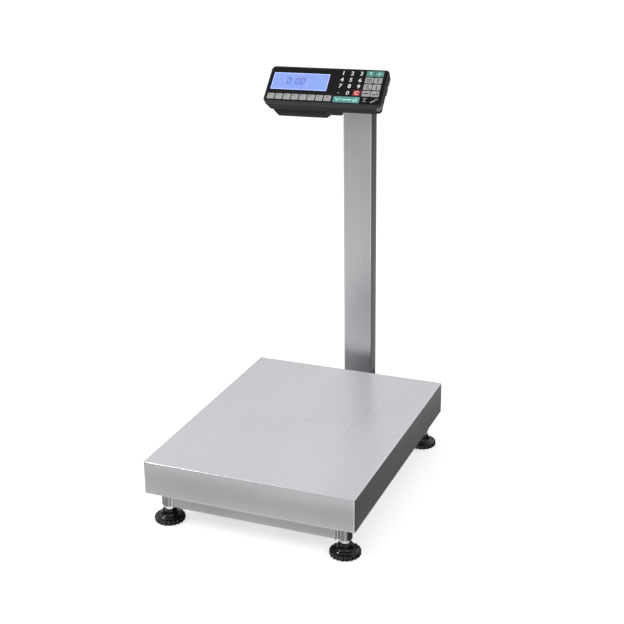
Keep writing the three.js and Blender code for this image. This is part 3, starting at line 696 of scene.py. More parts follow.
INK_DARK = film("ink_dark", (0.035, 0.035, 0.04), 0.4)
INK_RUST = film("ink_rust", (0.26, 0.05, 0.04), 0.4)
INK_GREY = film("ink_grey", (0.30, 0.30, 0.29), 0.4)
INK_PINK = film("ink_pink", (0.95, 0.42, 0.40), 0.4)
LCD_FIELD = liquid_crystal("display_field")
LCD_RIM = film("display_light_rim", (0.40, 0.48, 0.92), 0.2, 0.03, 0.75)
LCD_DIGIT = film("display_digit", (0.05, 0.07, 0.27), 0.2, 0.05, 0.35)
BOARD = board_mask("circuit_board")
WRAP = shrink_wrap("battery_wrap")
# Painted highlight: a pale grey for the oval plug on the case's front right corner, standing in for the
# corner's gloss.
PLUG_PAINTED_HIGHLIGHT = plastic("pale_plug_painted_highlight", (0.16, 0.16, 0.165), 0.3, 0.15, 900.0)
CABLE = plastic("cable_jacket", (0.10, 0.105, 0.11), 0.5, 0.2, 900.0)
GOLD = zinc("contact_metal")
ACRYLIC = clear_plastic("vial_acrylic", (0.85, 0.95, 0.55))
LIQUID = clear_plastic("vial_liquid", (0.55, 0.85, 0.10), 0.35)


# ---- platter


def platter_tray():
    """The folded tray: bent edges, ground corner seams with their relief notches, and a hem."""
    low, high, centre = upright_box("platter")
    width, depth = high.x - low.x, high.y - low.y
    bend, corner, hem, roof = 1.8, 3.2, 9.8, 16.0
    path = [(roof, high.z), (bend + 2.5, high.z)]
    path += arc((bend, high.z - bend), bend, 90, 180, 6)
    path += arc((2.0, low.z + 2.0), 2.0, 180, 270, 4)
    path += arc((hem - 0.7, low.z + 0.75), 0.75, 270, 450, 4)
    path += arc((2.9, low.z + 2.9), 1.4, 270, 180, 3)
    path += arc((bend, high.z - bend), bend - STEEL_GAUGE, 180, 90, 4)
    path.append((roof, high.z - STEEL_GAUGE))
    shape = Shape().loft([
        at_height(rounded(width - 2 * i, depth - 2 * i, max(corner - i, 0.25), 6, centre), z)
        for i, z in path
    ])
    cutters = []
    seam_top = high.z - bend - 1.2
    half, depth_cut, through = 0.4, 0.8, 1.8
    notch = arc((0, 0), 1.3, 0, 345, 23)
    upright = (low.z - 1, seam_top)
    for y, inward in ((low.y, 1), (high.y, -1)):
        x = low.x + 3.4
        cutters.append(block((x - half, x + half), (y - depth_cut, y + depth_cut), upright))
        cutters.append(prism([(x + u, seam_top + v) for u, v in notch], "Y", y - through, y + through))
        x, y = high.x, y + inward * corner
        cutters.append(block((x - depth_cut, x + depth_cut), (y - half, y + half), upright))
        cutters.append(prism([(y + u, seam_top + v) for u, v in notch], "X", x - through, x + through))
    piece("platter_tray", boolean(shape, cutters, "DIFFERENCE"), STEEL_TOP, "platter",
          ["platter"], sharp=28)


# ---- frame


def weld(name, path, radius, seed, closed=True):
    piece(name, bead(path, radius, seed, closed), WELD, "base", sharp=60)


def weld_round(name, outline, axis, at, radius):
    """A bead round a tube's end, its outline in the plane across the axis."""
    turn = {"X": lambda u, v: (at, u, v), "Y": lambda u, v: (u, at, v), "Z": lambda u, v: (u, v, at)}
    weld(name, densely([turn[axis](u, v) for u, v in outline], 0.9), radius, at)


# The cell's upper pad stands this much lower, so that the plate clears it at full deflection.
CELL_RELIEF = 0.25


def frame_tubes():
    for name, steel, width in (
        ("frame_front_beam", STEEL_X, 0.35), ("frame_rear_beam", STEEL_X, 0.35),
        ("frame_spine", STEEL_Y, 0.35), ("frame_outrigger", STEEL_Y, 0.35),
        ("platform_rail_left", STEEL_Y, 0.3), ("platform_rail_right", STEEL_Y, 0.3),
        ("platform_cross_plate", STEEL_X, 0.5), ("column_base_plate", STEEL_X, 0.6),
    ):
        body = "platform" if name.startswith("platform") else "base"
        refined(name, steel, body, width)
    refined("outrigger_end_plug", MATT_NYLON, "base", 0.6)
    cell = refined("load_cell", CELL_ALLOY, "base", 0.5, 40)
    top = max(vertex.co.z for vertex in cell.data.vertices)
    for vertex in cell.data.vertices:
        if vertex.co.z > top - 0.01 * MM:
            vertex.co.z -= CELL_RELIEF * MM


SPINE_WIDTH, OUTRIGGER_WIDTH, TUBE_HEIGHT, SPINE_TOP = 60, 100, 30, 62.5
# From a leg's axis to the beam's end face, where the beam is welded to the leg.
LEG_WELD_REACH = 11.3


def frame_welds():
    spine_low, spine_high = box_mm("frame_spine")
    for side, y in (("front", spine_low.y + 0.4), ("rear", spine_high.y - 0.4)):
        outline = rounded(SPINE_WIDTH, TUBE_HEIGHT, 3, 3, (0, (spine_low.z + SPINE_TOP) / 2))
        weld_round(f"weld_spine_{side}", outline, "Y", y, 1.3)
    outrigger_low, outrigger_high = box_mm("frame_outrigger")
    outline = rounded(OUTRIGGER_WIDTH, TUBE_HEIGHT, 3, 3, (0, (outrigger_low.z + outrigger_high.z) / 2))
    weld_round("weld_outrigger", outline, "Y", outrigger_low.y + 0.3, 1.3)
    for end in ("front", "rear"):
        low, high = box_mm(f"frame_{end}_beam")
        outline = rounded(high.y - low.y, high.z - low.z, 3, 3,
                          ((low.y + high.y) / 2, (low.z + high.z) / 2))
        for side, x in (("left", low.x + 0.9), ("right", high.x - 0.9)):
            weld_round(f"weld_{end}_{side}", outline, "X", x, 1.35)
        leg_low, leg_high = box_mm(f"leg_{end}_right")
        for side in (-1, 1):
            x = side * ((leg_low.x + leg_high.x) / 2 - LEG_WELD_REACH)
            for face, y in (("outer", low.y + 3.0), ("inner", high.y - 3.0)):
                upright = [(x, y, low.z + 1.5 + k * (high.z - low.z - 3) / 36) for k in range(37)]
                hand = "left" if side < 0 else "right"
                weld(f"weld_leg_{end}_{hand}_{face}", upright, 2.6, side, False)
    low, high = box_mm("column_tube")
    outline = rounded(high.x - low.x, high.y - low.y, 3, 4,
                      ((low.x + high.x) / 2, (low.y + high.y) / 2))
    weld_round("weld_column_foot", outline, "Z", low.z + 0.7, 1.5)


def legs_and_feet():
    for corner in CORNERS:
        for part in (leg, jam_nut, stop_screw, foot_stud, foot_pad, support_pad):
            part(corner)


def leg(corner):
    low, high, centre = upright_box(f"leg_{corner}")
    radius, bore = (high.x - low.x) / 2, 6.35
    profile = [(bore + 0.6, low.z), (radius - 1.1, low.z)]
    profile += [(radius - 1.1 + r, low.z + 1.1 + z) for r, z in arc((0, 0), 1.1, -90, 0, 5)]
    profile += [(radius - 0.8 + r, high.z - 0.8 + z) for r, z in arc((0, 0), 0.8, 0, 90, 4)]
    profile += [(bore + 0.6, high.z), (bore, high.z - 0.6), (bore, low.z + 0.6)]
    shape = Shape().lathe(profile, 72, centre, closed=True)
    piece(f"leg_tube_{corner}", shape, STEEL_LEG_PAINTED_SHADE, "base", [f"leg_{corner}"], sharp=40)


def jam_nut(corner):
    low, high, centre = upright_box(f"jam_nut_{corner}")
    shape = hexagon(M12_FLATS, low.z, high.z, centre, 1.2, M12_RADIUS + 0.3)
    piece(f"hex_nut_{corner}", shape, ZINC, "base", [f"jam_nut_{corner}"], sharp=25)


def stop_screw(corner):
    low, high, centre = upright_box(f"stop_screw_{corner}")
    seat = box_mm("frame_front_beam")[1].z + 0.3
    shape = hexagon(M8_FLATS, seat, seat + 6.2, centre)
    shape.join(thread(M8_RADIUS, M8_PITCH, low.z, high.z, centre, 24))
    piece(f"stop_bolt_{corner}", shape, ZINC, "base", [f"stop_screw_{corner}"], sharp=25)


def foot_stud(corner):
    low, high, centre = upright_box(f"foot_stud_{corner}")
    shape = thread(M12_RADIUS, M12_PITCH, low.z, high.z, centre, 36)
    piece(f"threaded_stud_{corner}", shape, ZINC, f"foot_stud_{corner}",
          [f"foot_stud_{corner}"], sharp=50)


def foot_pad(corner):
    """A glossy domed pad: scalloped rim, flat flange, a raised ring, a dome and a narrow neck."""
    _, high, centre = upright_box(f"foot_pad_{corner}")
    rim, top = 29.4, high.z
    foot = [(6.0, 0.9), (24.0, 0.9), (25.0, 0.0), (rim - 2.0, 0.0), (rim - 0.9, 0.35),
            (rim - 0.2, 1.2), (rim, 2.2), (rim, 7.6), (rim - 0.35, 8.6), (rim - 1.1, 9.3), (rim - 2.2, 9.6)]
    ridge = [(25.0, 10.2), (22.9, 10.9), (22.2, 11.5), (21.6, 12.5), (20.8, 13.0), (19.6, 13.2),
             (18.9, 13.0), (18.3, 12.9)]
    dome = [(17.5, 13.3), (16.6, 14.3), (15.8, 15.7), (15.1, 17.4), (14.5, 19.2), (13.9, 21.2),
            (13.2, 23.0), (12.4, 24.1), (11.4, top - 0.1), (10.2, top), (7.2, top), (6.4, top - 0.7),
            (6.3, 9.0)]

    def scallop(radius, height, angle):
        if radius < 25.5:
            return radius
        wave = (0.5 + 0.5 * math.cos(20 * angle)) ** 1.6
        return radius - 1.9 * wave * min(1, (radius - 25.5) / 2.5)

    shape = Shape().lathe(foot + ridge + dome, 200, centre, scallop)
    piece(f"levelling_pad_{corner}", shape, NYLON, f"foot_pad_{corner}",
          [f"foot_pad_{corner}"], sharp=48)


def support_pad(corner):
    low, high, centre = upright_box(f"support_pad_{corner}")
    radius = (high.x - low.x) / 2
    profile = [(radius - 1.2, low.z), (radius - 0.3, low.z + 0.4), (radius, low.z + 1.2),
               (radius, high.z - 2.4), (radius - 0.4, high.z - 1.7), (radius - 1.6, high.z - 0.2),
               (radius - 2.4, high.z),
               (9.5, high.z), (8.9, high.z - 0.9), (7.6, high.z - 0.9), (7.0, high.z), (1.0, high.z)]
    shape = Shape().lathe(profile, 64, centre)
    piece(f"rubber_pad_{corner}", shape, RUBBER, "platform", [f"support_pad_{corner}"])


def bolts():
    for k in (1, 2):
        m8_bolt(f"cell_bolt_under_{k}", f"cell_lower_bolt_{k}", "base", 5, 1, under=True)
        m8_bolt(f"cell_bolt_over_{k}", f"cell_upper_bolt_{k}", "platform", 5, 1)
    for k in (1, 2, 3, 4):
        m8_bolt(f"plate_bolt_{k}", f"column_bolt_{k}", "base", 5.5, 0.5)


def level_vial():
    """A round level: a black flange, green liquid with its bubble, and a clear cover."""
    low, high, centre = upright_box("level_vial")
    radius = (high.x - low.x) / 2
    cup = [(radius - 0.5, low.z), (radius, low.z + 0.5), (radius, low.z + 2.0), (radius - 0.5, low.z + 2.5),
           (radius - 1.6, low.z + 2.6), (radius - 1.6, low.z + 1.2), (1.0, low.z + 1.2)]
    liquid = [(radius - 2.2, low.z + 1.3), (radius - 2.2, high.z - 1.6), (radius - 3, high.z - 1.2),
              (0.5, high.z - 1.0)]
    cover = [(radius - 1.7, low.z + 1.3), (radius - 1.7, high.z - 1.1), (radius - 2.3, high.z - 0.4),
             (radius - 4, high.z - 0.1), (0.5, high.z)]
    for name, profile, material, nodes in (
        ("vial_flange", cup, MATT_NYLON, ["level_vial"]), ("vial_liquid", liquid, LIQUID, ()),
        ("vial_cover", cover, ACRYLIC, ()),
    ):
        piece(name, Shape().lathe(profile, 48, centre), material, "base", nodes)
    mark = tube(circle(centre, lambda angle: 2.6, high.z - 0.02, 40), 0.14, 8, True)
    piece("vial_mark", mark, INK_DARK, "base")


# ---- column


def column():
    low, high, centre = upright_box("column_tube")
    width, depth = high.x - low.x, high.y - low.y
    outer = rounded(width, depth, 3, 8, centre)
    soft = rounded(width - 0.4, depth - 0.4, 2.8, 8, centre)
    inner = rounded(width - 2 * STEEL_GAUGE, depth - 2 * STEEL_GAUGE, 1.6, 8, centre)
    levels = [low.z + 0.2 + (high.z - low.z - 0.4) * k / 6 for k in range(7)]
    rings = [at_height(soft, low.z), *(at_height(outer, z) for z in levels), at_height(soft, high.z)]
    rings += [at_height(inner, high.z), at_height(inner, low.z)]
    shape = Shape().loft(rings, closed=True)
    piece("column_post", shape, STEEL_Z, "base", ["column_tube"], sharp=40)
    refined("column_cap", MATT_NYLON, "base", 0.5)


CELL_CABLE = [
    (0, 75.3, 80), (0, 89.3, 79), (0, 102.3, 72), (0, 107.3, 60), (0, 113.3, 50.5), (0, 127.3, 47.5),
    (0, 180, 47.5), (0, 240, 47.5), (0, 290, 47.5), (0, 325, 47.5), (0, 338, 54.5), (0, 341, 69.5),
    (0, 341, 120), (0, 341, 300), (0, 341, 500), (0, 341, 706.3),
]


def cell_cable():
    """The load cell's cable, whole, as far as the column's top."""
    shift = upright_box("platter")[2][1]
    path = smooth_path([(x, y + shift, z) for x, y, z in CELL_CABLE], 6)
    piece("cell_cable_jacket", tube(path, CABLE_RADIUS, 20), CABLE, "base", ["load_cell_cable"])


# ---- swivel head and tilt screw


def swivel_head():
    refined("swivel_head", ZINC, "swivel_head", 0.5, 40)


def tilt_screw():
    """The clamp screw along the tilt axis: a socket head, a threaded shank and a lobed knob."""
    def lobed(radius, height, angle):
        if radius < 10:
            return radius
        return radius * (0.905 + 0.12 * math.cos(6 * angle))

    shape = thread(M8_RADIUS, M8_PITCH, -23.5, 24.0, (0, 0, 0), 24)
    head = [(2.9, -25.6), (3.1, -27.9), (5.6, -28.1), (6.6, -27.8), (7.0, -27.0), (7.0, -23.6),
            (6.6, -23.2), (2, -23.2)]
    shape.lathe(head, 48)
    knob = [(5, 23.2), (7.6, 23.2), (8.0, 23.7), (8.0, 26.0), (8.4, 26.3), (12.0, 26.4), (13.0, 26.9),
            (13.5, 28.0), (13.6, 30.0), (13.6, 34.6), (13.3, 36.2), (12.3, 37.3), (10.6, 37.9), (9.0, 38.0),
            (8.4, 37.5), (7.6, 37.1), (1.0, 37.0)]
    shape.lathe(knob, 144, wobble=lobed)
    pivot_z = PIVOT.z / MM
    place = TERMINAL @ Matrix.Translation(Vector((0, 0, pivot_z)) * MM) @ Matrix.Rotation(QUARTER, 4, "Y")
    piece("tilt_knob_screw", shape, MATT_NYLON, "tilt_screw", ["tilt_screw"], place, 40)


# ---- terminal case

FACE_WIDTH, FACE_LENGTH, FACE_CORNER = 253.0, 93.0, 9.0
FACE_MIDDLE = (0, -FACE_LENGTH / 2)
WINDOW = (-117.6, 3.0, -60.0, -16.3)
SHEET_TOP = -0.2
CASE_WALL = 2.5
SHELL_TOP, SHELL_FOOT = -12.3, -33.0
FACE_LOCAL = Matrix.Translation(FACE_ORIGIN / MM) @ Matrix.Rotation(FACE_TILT, 4, "X")


def between(points, at):
    """The value at a place along (place, value) pairs, straight between them."""
    points = sorted(points)
    for (a, u), (b, v) in zip(points, points[1:]):
        if a <= at <= b:
            return u + (v - u) * (at - a) / (b - a) if b > a else u
    return points[0][1] if at < points[0][0] else points[-1][1]


def wedge_half(level):
    """Half the case's width: it narrows from the face to the foot."""
    return between([(SHELL_FOOT, 120.0), (SHELL_TOP, 125.5), (0, FACE_WIDTH / 2)], level)


def wedge_corner(level):
    return between([(SHELL_FOOT, 15.0), (SHELL_TOP, FACE_CORNER)], level)


def wedge_ring(level, uphill, downhill, inset, shrink=0.0):
    """The case's outline at a level, between its uphill and downhill ends."""
    top, bottom = between(uphill, level), between(downhill, level)
    width, height = 2 * (wedge_half(level) - inset), top - bottom
    radius = min(wedge_corner(level) - shrink, height / 2 - 0.2)
    return at_height(rounded(width, height, radius, 8, (0, (top + bottom) / 2)), level)


def wedge_shell():
    """The case's back as a hollow loft: its outside, its rim and its inside."""
    uphill = [(-33, -75.5), (-32.6, -74.6), (-31.8, -72.4), (-21.6, -51.4), (-21, -49), (-20.6, -42),
              (-19.2, -7), (-18.7, -4.6), (-17.6, -2.2), (-16.2, -0.3), (-15.4, 0), (SHELL_TOP, 0)]
    downhill = [(-33, -84.6), (-32.6, -85.8), (-31.8, -87.0), (-27.2, -91.8), (-26.2, -92.6), (-25.2, -93),
                (SHELL_TOP, -93)]
    levels = [-33, -32.6, -31.8, -29, -27.2, -26.2, -25.2]
    for groove in (-23.6, -20.0, -16.4):
        for step, reach in ((-0.75, -93), (-0.35, -92.35), (0.35, -92.35), (0.75, -93)):
            downhill.append((groove + step, reach))
            levels.append(groove + step)
    levels += [-21.6, -21, -20.6, -19.2, -18.7, -17.6, -15.4, -12.9, SHELL_TOP]
    levels = sorted(set(levels))
    insets = {-33: 1.6, -32.6: 0.7, -31.8: 0.1, SHELL_TOP: 0.25}
    rings = [wedge_ring(n, uphill, downhill, insets.get(n, 0)) for n in levels]
    inner_up = [(-30.5, -74), (-18.5, -50), (-16.6, -5), (-13.6, -2.6), (SHELL_TOP, -2.5)]
    inner_down = [(-30.5, -83.5), (-24.8, -90.4), (SHELL_TOP, -90.5)]
    inner = [-30.5, -28, -24.8, -21, -18.5, -17.5, -16.6, -13.6, SHELL_TOP]
    rings += [wedge_ring(n, inner_up, inner_down, CASE_WALL, CASE_WALL) for n in reversed(inner)]
    return Shape().loft(rings).moved(FACE_LOCAL)


def battery_box(inset):
    """The box under the case's left part, its lower left edge cut at a slant.

    The slant shrinks by about 2 - sqrt 2 of the inset, which keeps its wall as thick as the others.
    """
    left, right, low, slant = -171.5 + inset, -54.0 - inset, 680.0 + inset, 11.5 - 0.586 * inset
    front, rear, edge = -55.0 + inset, 8.0 - inset, max(0.3, 2.6 - inset)
    outline = [(left, 745), (left, low + slant), (left + slant, low), (right, low), (right, 745)]
    body = prism(outline, "Y", front, rear, edge, 4)
    roof = [(front - 2, 670), (rear + 2, 670), (rear + 2, 709), (-20 - inset, 734 - inset),
            (-40, 722), (front - 2, 699)]
    return boolean(body, [prism(roof, "X", left - 5, right + 5)], "INTERSECT")


def lug(inner):
    """An eye that holds the case on the tilt screw, from its inner side outwards."""
    eye = [(9 * math.cos(a), 722 + 9 * math.sin(a)) for a in
           (math.pi * (-0.75 + 0.81 * k / 18) for k in range(19))]
    return prism([(-29, 730), *eye, (-3, 754)], "X", inner, inner + 5)


GRIP_SPANS = ((-27, -6), (-51, -32))
REAR_WALL = (4, 9)
PANEL_X, PANEL_Z = (-150, -98), (688, 706)
CABLE_ENTRY = (-FACE_ORIGIN.x / MM, -46)


def grips():
    """Two finger grips on each end of the case, ribbed across."""
    parts = []
    for side in (-1, 1):
        for low, high in GRIP_SPANS:
            span = sorted((side * 121.6, side * 125.6))
            parts.append(block(span, (low, high), (-20.2, -13.4), 1.5, 4).moved(FACE_LOCAL))
    return parts


def grip_grooves():
    cuts = []
    for side in (-1, 1):
        for low, high in GRIP_SPANS:
            for k in range(4):
                y = low + (high - low) * (k + 1) / 5
                span = sorted((side * 125.1, side * 127))
                cuts.append(block(span, (y - 0.45, y + 0.45), (-21, -13)).moved(FACE_LOCAL))
    return cuts


def lower_shell():
    step = block((-57, -22), (-61, -48), (688, 701), 1.2)
    solid = boolean(wedge_shell(), [battery_box(0), step, lug(17.8), lug(-22.8)], "UNION")
    entry = Shape().lathe([(4, -32), (4, -8)], 32, (*CABLE_ENTRY, 0)).moved(FACE_LOCAL)
    bore = M8_RADIUS + 0.3
    across = Matrix.Translation((0, 0, PIVOT.z / MM)) @ Matrix.Rotation(QUARTER, 4, "Y")
    screw_hole = Shape().lathe([(bore, -40), (bore, 40)], 32).moved(across)
    door, panel, rocker = (block(*spans) for spans in (
        ((-150, -64), (-46, -2), (678, 684)), (PANEL_X, REAR_WALL, PANEL_Z),
        ((-86, -68), REAR_WALL, (690, 702))))
    cuts = [battery_box(CASE_WALL), door, panel, rocker, screw_hole, entry]
    made = boolean(solid, cuts, "DIFFERENCE")
    piece("case_back", made, SHELL, "terminal", ["terminal_lower_shell"], TERMINAL, 30)
    ribbed = boolean(together(grips()), grip_grooves(), "DIFFERENCE")
    piece("case_grips", ribbed, GRIP, "terminal", (), TERMINAL, 30)


def corner_point(along, level, proud):
    """A point on the case's skin, measured along it from the middle of its front right corner."""
    half, corner = wedge_half(level), wedge_corner(level)
    bend = corner * math.pi / 4
    on_bend = max(-bend, min(bend, along))
    turn = -math.pi / 4 + on_bend / corner
    past = along - on_bend
    return (half - corner + (corner + proud) * math.cos(turn) + min(past, 0),
            -FACE_LENGTH + corner + (corner + proud) * math.sin(turn) + max(past, 0), level)


def corner_plug_painted_highlight():
    """An oval fluted plug that wraps the case's front right corner; its pale grey is a painted highlight,
    the gloss of the rounded corner.
    """
    middle, level, climb = 0.6, -9.6, 0.28
    long, short = 9.6, 4.6
    rim = []
    for k in range(72):
        a = 2 * math.pi * k / 72
        along, rise = long * math.cos(a), short * math.sin(a)
        rim.append(corner_point(middle + along, level + rise + climb * along, 0.1))
    shape = tube(rim, 0.8, 10, True)
    for k in range(7):
        along = (k - 3) * 2.3
        tall = 0.8 * short * math.sqrt(1 - (along / (long - 0.6)) ** 2)
        flute = [corner_point(middle + along, level + climb * along + tall * (j / 5 - 1), 0.05)
                 for j in range(11)]
        shape.join(tube(flute, 0.62, 8))
    # The plug's pale grey paints the highlight on the rounded corner.
    piece("corner_plug_painted_highlight", shape, PLUG_PAINTED_HIGHLIGHT, "terminal", (), FACE, 40)


def case_screws():
    """Recessed cross-head screws in the case's back."""
    shape = Shape()
    profile = [(3.4, 0.3), (3.4, -0.3), (3.0, -0.75), (2.0, -1.0), (0.4, -1.1)]
    for x in (-112, 112):
        for y in (-14, -45):
            level = between([(-50, -21), (-4, -19)], y)
            head = Shape().lathe(profile, 32, (x, y, level))
            slot_cuts = [block((x - 1.6, x + 1.6), (y - 0.3, y + 0.3), (level - 1.6, level - 0.5)),
                         block((x - 0.3, x + 0.3), (y - 1.6, y + 1.6), (level - 1.6, level - 0.5))]
            shape.join(boolean(head, slot_cuts, "DIFFERENCE"))
    piece("case_screws", shape, ZINC, "terminal", (), FACE, 30)


def face_ring(inset, level):
    size = (FACE_WIDTH - 2 * inset, FACE_LENGTH - 2 * inset, FACE_CORNER - inset)
    return at_height(rounded(*size, 6, FACE_MIDDLE), level)


def window_ring(grow, level):
    left, right, bottom, top = WINDOW
    size = (right - left + 2 * grow, top - bottom + 2 * grow, 0.8)
    return at_height(rounded(*size, 6, ((left + right) / 2, (bottom + top) / 2)), level)


def bezel():
    rings = [face_ring(inset, level) for inset, level in (
        (1.2, -12), (0.85, -11.6), (0, -1.8), (0.14, -1.1), (0.53, -0.53), (1.1, -0.14), (1.8, 0),
        (3.1, 0), (3.4, -0.12), (3.5, -0.4), (3.5, -1.3))]
    rings += [window_ring(1.0, -1.3), window_ring(1.0, -3.5)]
    rings += [face_ring(2.5, -3.5), face_ring(2.5, -12)]
    shape = Shape().loft(rings, closed=True)
    piece("case_bezel", shape, SHELL, "terminal", ["terminal_bezel"], FACE, 30)


def overlay_sheet():
    rings = [face_ring(inset, level) for inset, level in (
        (3.8, -1.0), (3.8, -0.4), (3.9, -0.25), (4.1, SHEET_TOP))]
    rings += [window_ring(grow, level) for grow, level in (
        (0.25, SHEET_TOP), (0.1, -0.25), (0.0, -0.4), (0.0, -1.0))]
    shape = Shape().loft(rings, closed=True)
    piece("keypad_sheet", shape, FILM, "terminal", ["keypad_overlay"], FACE, 30)


# ---- display

DIGIT_LEAN = math.tan(math.radians(3))
DIGIT_FOOT = -45.4


def display():
    left, right, bottom, top = WINDOW
    centre = ((left + right) / 2, (bottom + top) / 2)
    width, height = right - left - 0.6, top - bottom - 0.6
    carrier = slab((width + 6, height + 6, 1.0, centre), -7.4, -4.05, 0.4)
    piece("display_carrier", carrier, MATT_NYLON, "terminal", ["display_module"], FACE)
    field = slab((width, height, 0.5, centre), -4.6, -0.62, 0.15)
    piece("display_field", field, LCD_FIELD, "terminal", (), FACE)
    rings = [(0.1, -0.66), (0.1, -0.56), (1.25, -0.56), (1.25, -0.66)]
    rim = Shape().loft([at_height(rounded(width - 2 * inset, height - 2 * inset, 0.4, 3, centre), level)
                        for inset, level in rings], closed=True)
    piece("display_rim", rim, LCD_RIM, "terminal", (), FACE)
    digits = Shape()
    for x in (-82.6, -63.6, -52.2):
        for stroke in zero_strokes():
            digits.join(leaning_bar([(x + u, v) for u, v in stroke]))
    digits.join(leaning_bar([(-73.9, 0.1), (-71.9, 0.1), (-71.9, 1.9), (-73.9, 1.9)]))
    piece("display_digits", digits, LCD_DIGIT, "terminal", (), FACE)


def zero_strokes():
    """The six lit strokes of a seven-stroke zero, about its middle, its foot at height 0."""
    half, tall, thick, gap = 3.4, 16.6, 1.5, 0.25
    middle, tip = tall / 2, thick / 2

    def upright(x, low, high):
        return [(x - tip, low + tip), (x, low), (x + tip, low + tip),
                (x + tip, high - tip), (x, high), (x - tip, high - tip)]

    def level(y):
        a, b = -half + gap + tip, half - gap - tip
        return [(a - tip, y), (a, y - tip), (b, y - tip), (b + tip, y), (b, y + tip), (a, y + tip)]

    strokes = [level(tip), level(tall - tip)]
    for x in (-half, half):
        strokes += [upright(x, tip + gap, middle - gap), upright(x, middle + gap, tall - tip - gap)]
    return strokes


def leaning_bar(outline):
    return prism([(u + v * DIGIT_LEAN, DIGIT_FOOT + v) for u, v in outline], "Z", -0.64, -0.52)


# ---- keys and their printing

KEY_TOP = 0.0
INK_TOP = 0.035
INK_FOOT = 0.03
ROWS = (-11.8, -28.7, -45.2, -62.4)
COLUMNS = (30.4, 49.2, 68.7)
FUNCTION_X = (87.9, 106.5)
FUNCTION_Y = (-11.6, -28.5, -45.4, -62.35)
MEMORY_X = [-111.6 + 17.37 * k for k in range(8)]
MEMORY_Y = -78.3


def key(x, y, width, height):
    return slab((width, height, 1.4, (x, y)), -0.24, KEY_TOP, 0.14)


def flat(outline, low=KEY_TOP):
    """A printed mark: a thin raised outline."""
    return prism(outline, "Z", low - INK_FOOT, low + INK_TOP)


def bars(x, y, spans, low=KEY_TOP):
    """Straight strokes, each (from x, from y, to x, to y, thickness) about a middle."""
    strokes = []
    for ax, ay, bx, by, thick in spans:
        a, b = Vector((x + ax, y + ay)), Vector((x + bx, y + by))
        side = Vector((a.y - b.y, b.x - a.x)).normalized() * thick / 2
        strokes.append(flat([tuple(a + side), tuple(a - side), tuple(b - side), tuple(b + side)], low))
    return strokes


def printed(name, marks, ink):
    piece(name, together(marks), ink, "terminal", (), FACE, 50)


def ring_mark(x, y, radius, thick, start, end, low=KEY_TOP):
    steps = max(6, round((end - start) / 15))
    outer = arc((x, y), radius + thick / 2, start, end, steps)
    inner = arc((x, y), radius - thick / 2, start, end, steps)
    shape = Shape()
    for k in range(steps):
        shape.join(flat([outer[k], outer[k + 1], inner[k + 1], inner[k]], low))
    return shape


def dot(x, y, radius, low=KEY_TOP):
    return flat(arc((x, y), radius, 0, 340, 17), low)


def arrow(x, y, size, turn):
    a = math.radians(turn)
    points = [(size, 0), (-0.5 * size, 0.8 * size), (-0.5 * size, -0.8 * size)]
    return flat([(x + u * math.cos(a) - v * math.sin(a), y + u * math.sin(a) + v * math.cos(a))
                 for u, v in points])


def figure(text, x, y, height, low, lean=0.03, bold=0.012):
    """A printed figure from the plain built-in typeface, leaning and bold."""
    data = bpy.data.curves.new("figure", "FONT")
    data.body = text
    data.shear = lean
    data.offset = bold
    data.extrude = 0.001
    data.resolution_u = 5
    thing = bpy.data.objects.new("figure", data)
    bpy.context.scene.collection.objects.link(thing)
    bpy.context.view_layer.update()
    evaluated = thing.evaluated_get(bpy.context.evaluated_depsgraph_get())
    mesh = evaluated.to_mesh()
    points = [v.co.copy() for v in mesh.vertices]
    faces = [list(p.vertices) for p in mesh.polygons]
    evaluated.to_mesh_clear()
    bpy.data.objects.remove(thing)
    lows = Vector(map(min, zip(*points)))
    highs = Vector(map(max, zip(*points)))
    grow = height / (highs.y - lows.y)
    middle = (lows + highs) / 2
    return Shape().add([(x + (p.x - middle.x) * grow, y + (p.y - middle.y) * grow,
                         low + (INK_TOP if p.z > 0 else -INK_FOOT)) for p in points], faces)


def keys():
    grey = [key(x, MEMORY_Y, 15.3, 14.6) for x in MEMORY_X]
    grey += [key(x, y, 17.2, 14.3) for x in FUNCTION_X for y in FUNCTION_Y[1:]]
    printed("keypad_grey_keys", grey, KEY_GREY)
    printed("keypad_teal_keys", [key(49.9, -79.6, 55.4, 15.4)], KEY_TEAL)
    printed("keypad_deep_teal_keys", [key(x, FUNCTION_Y[0], 17.9, 14.8) for x in FUNCTION_X], KEY_DEEP_TEAL)
    printed("keypad_red_keys", [key(68.2, -61.9, 15.8, 13.8)], KEY_RED)


def figures():
    tall = 9.8
    marks = [figure(str(k + 1), COLUMNS[k % 3], ROWS[k // 3], tall, SHEET_TOP) for k in range(9)]
    marks.append(figure("0", COLUMNS[1], ROWS[3], tall, SHEET_TOP))
    marks.append(dot(COLUMNS[0] - 0.5, ROWS[3] - 0.6, 1.0, SHEET_TOP))
    printed("keypad_figures", marks, INK_WHITE)
    printed("keypad_clear_mark", [figure("C", 68.0, -61.9, 9.4, KEY_TOP, 0.05, 0.05)], INK_PINK)


def teal_marks():
    """The zero and tare keys' marks, and a tick, a bar and a turning arrow on the long key."""
    x, y = FUNCTION_X[1], FUNCTION_Y[0]
    marks = [figure("T", FUNCTION_X[0], y, 8.0, KEY_TOP, 0.0, 0.03),
             figure("0", x, y, 8.6, KEY_TOP, 0.0, 0.0),
             arrow(x - 6.3, y, 1.7, 0), arrow(x + 6.3, y, 1.7, 180)]
    y = -79.4
    marks += bars(0, y, [(27.0, 3.6, 31.2, -3.4, 1.9), (30.4, -3.2, 38.0, 3.8, 1.9),
                         (41.0, -0.4, 60.5, -0.4, 2.6)])
    marks += [ring_mark(68.2, y - 0.2, 4.0, 1.6, -220, 80), arrow(70.2, y + 4.2, 2.2, 10),
              dot(68.2, y - 0.2, 1.3)]
    printed("keypad_pale_marks", marks, INK_PALE)


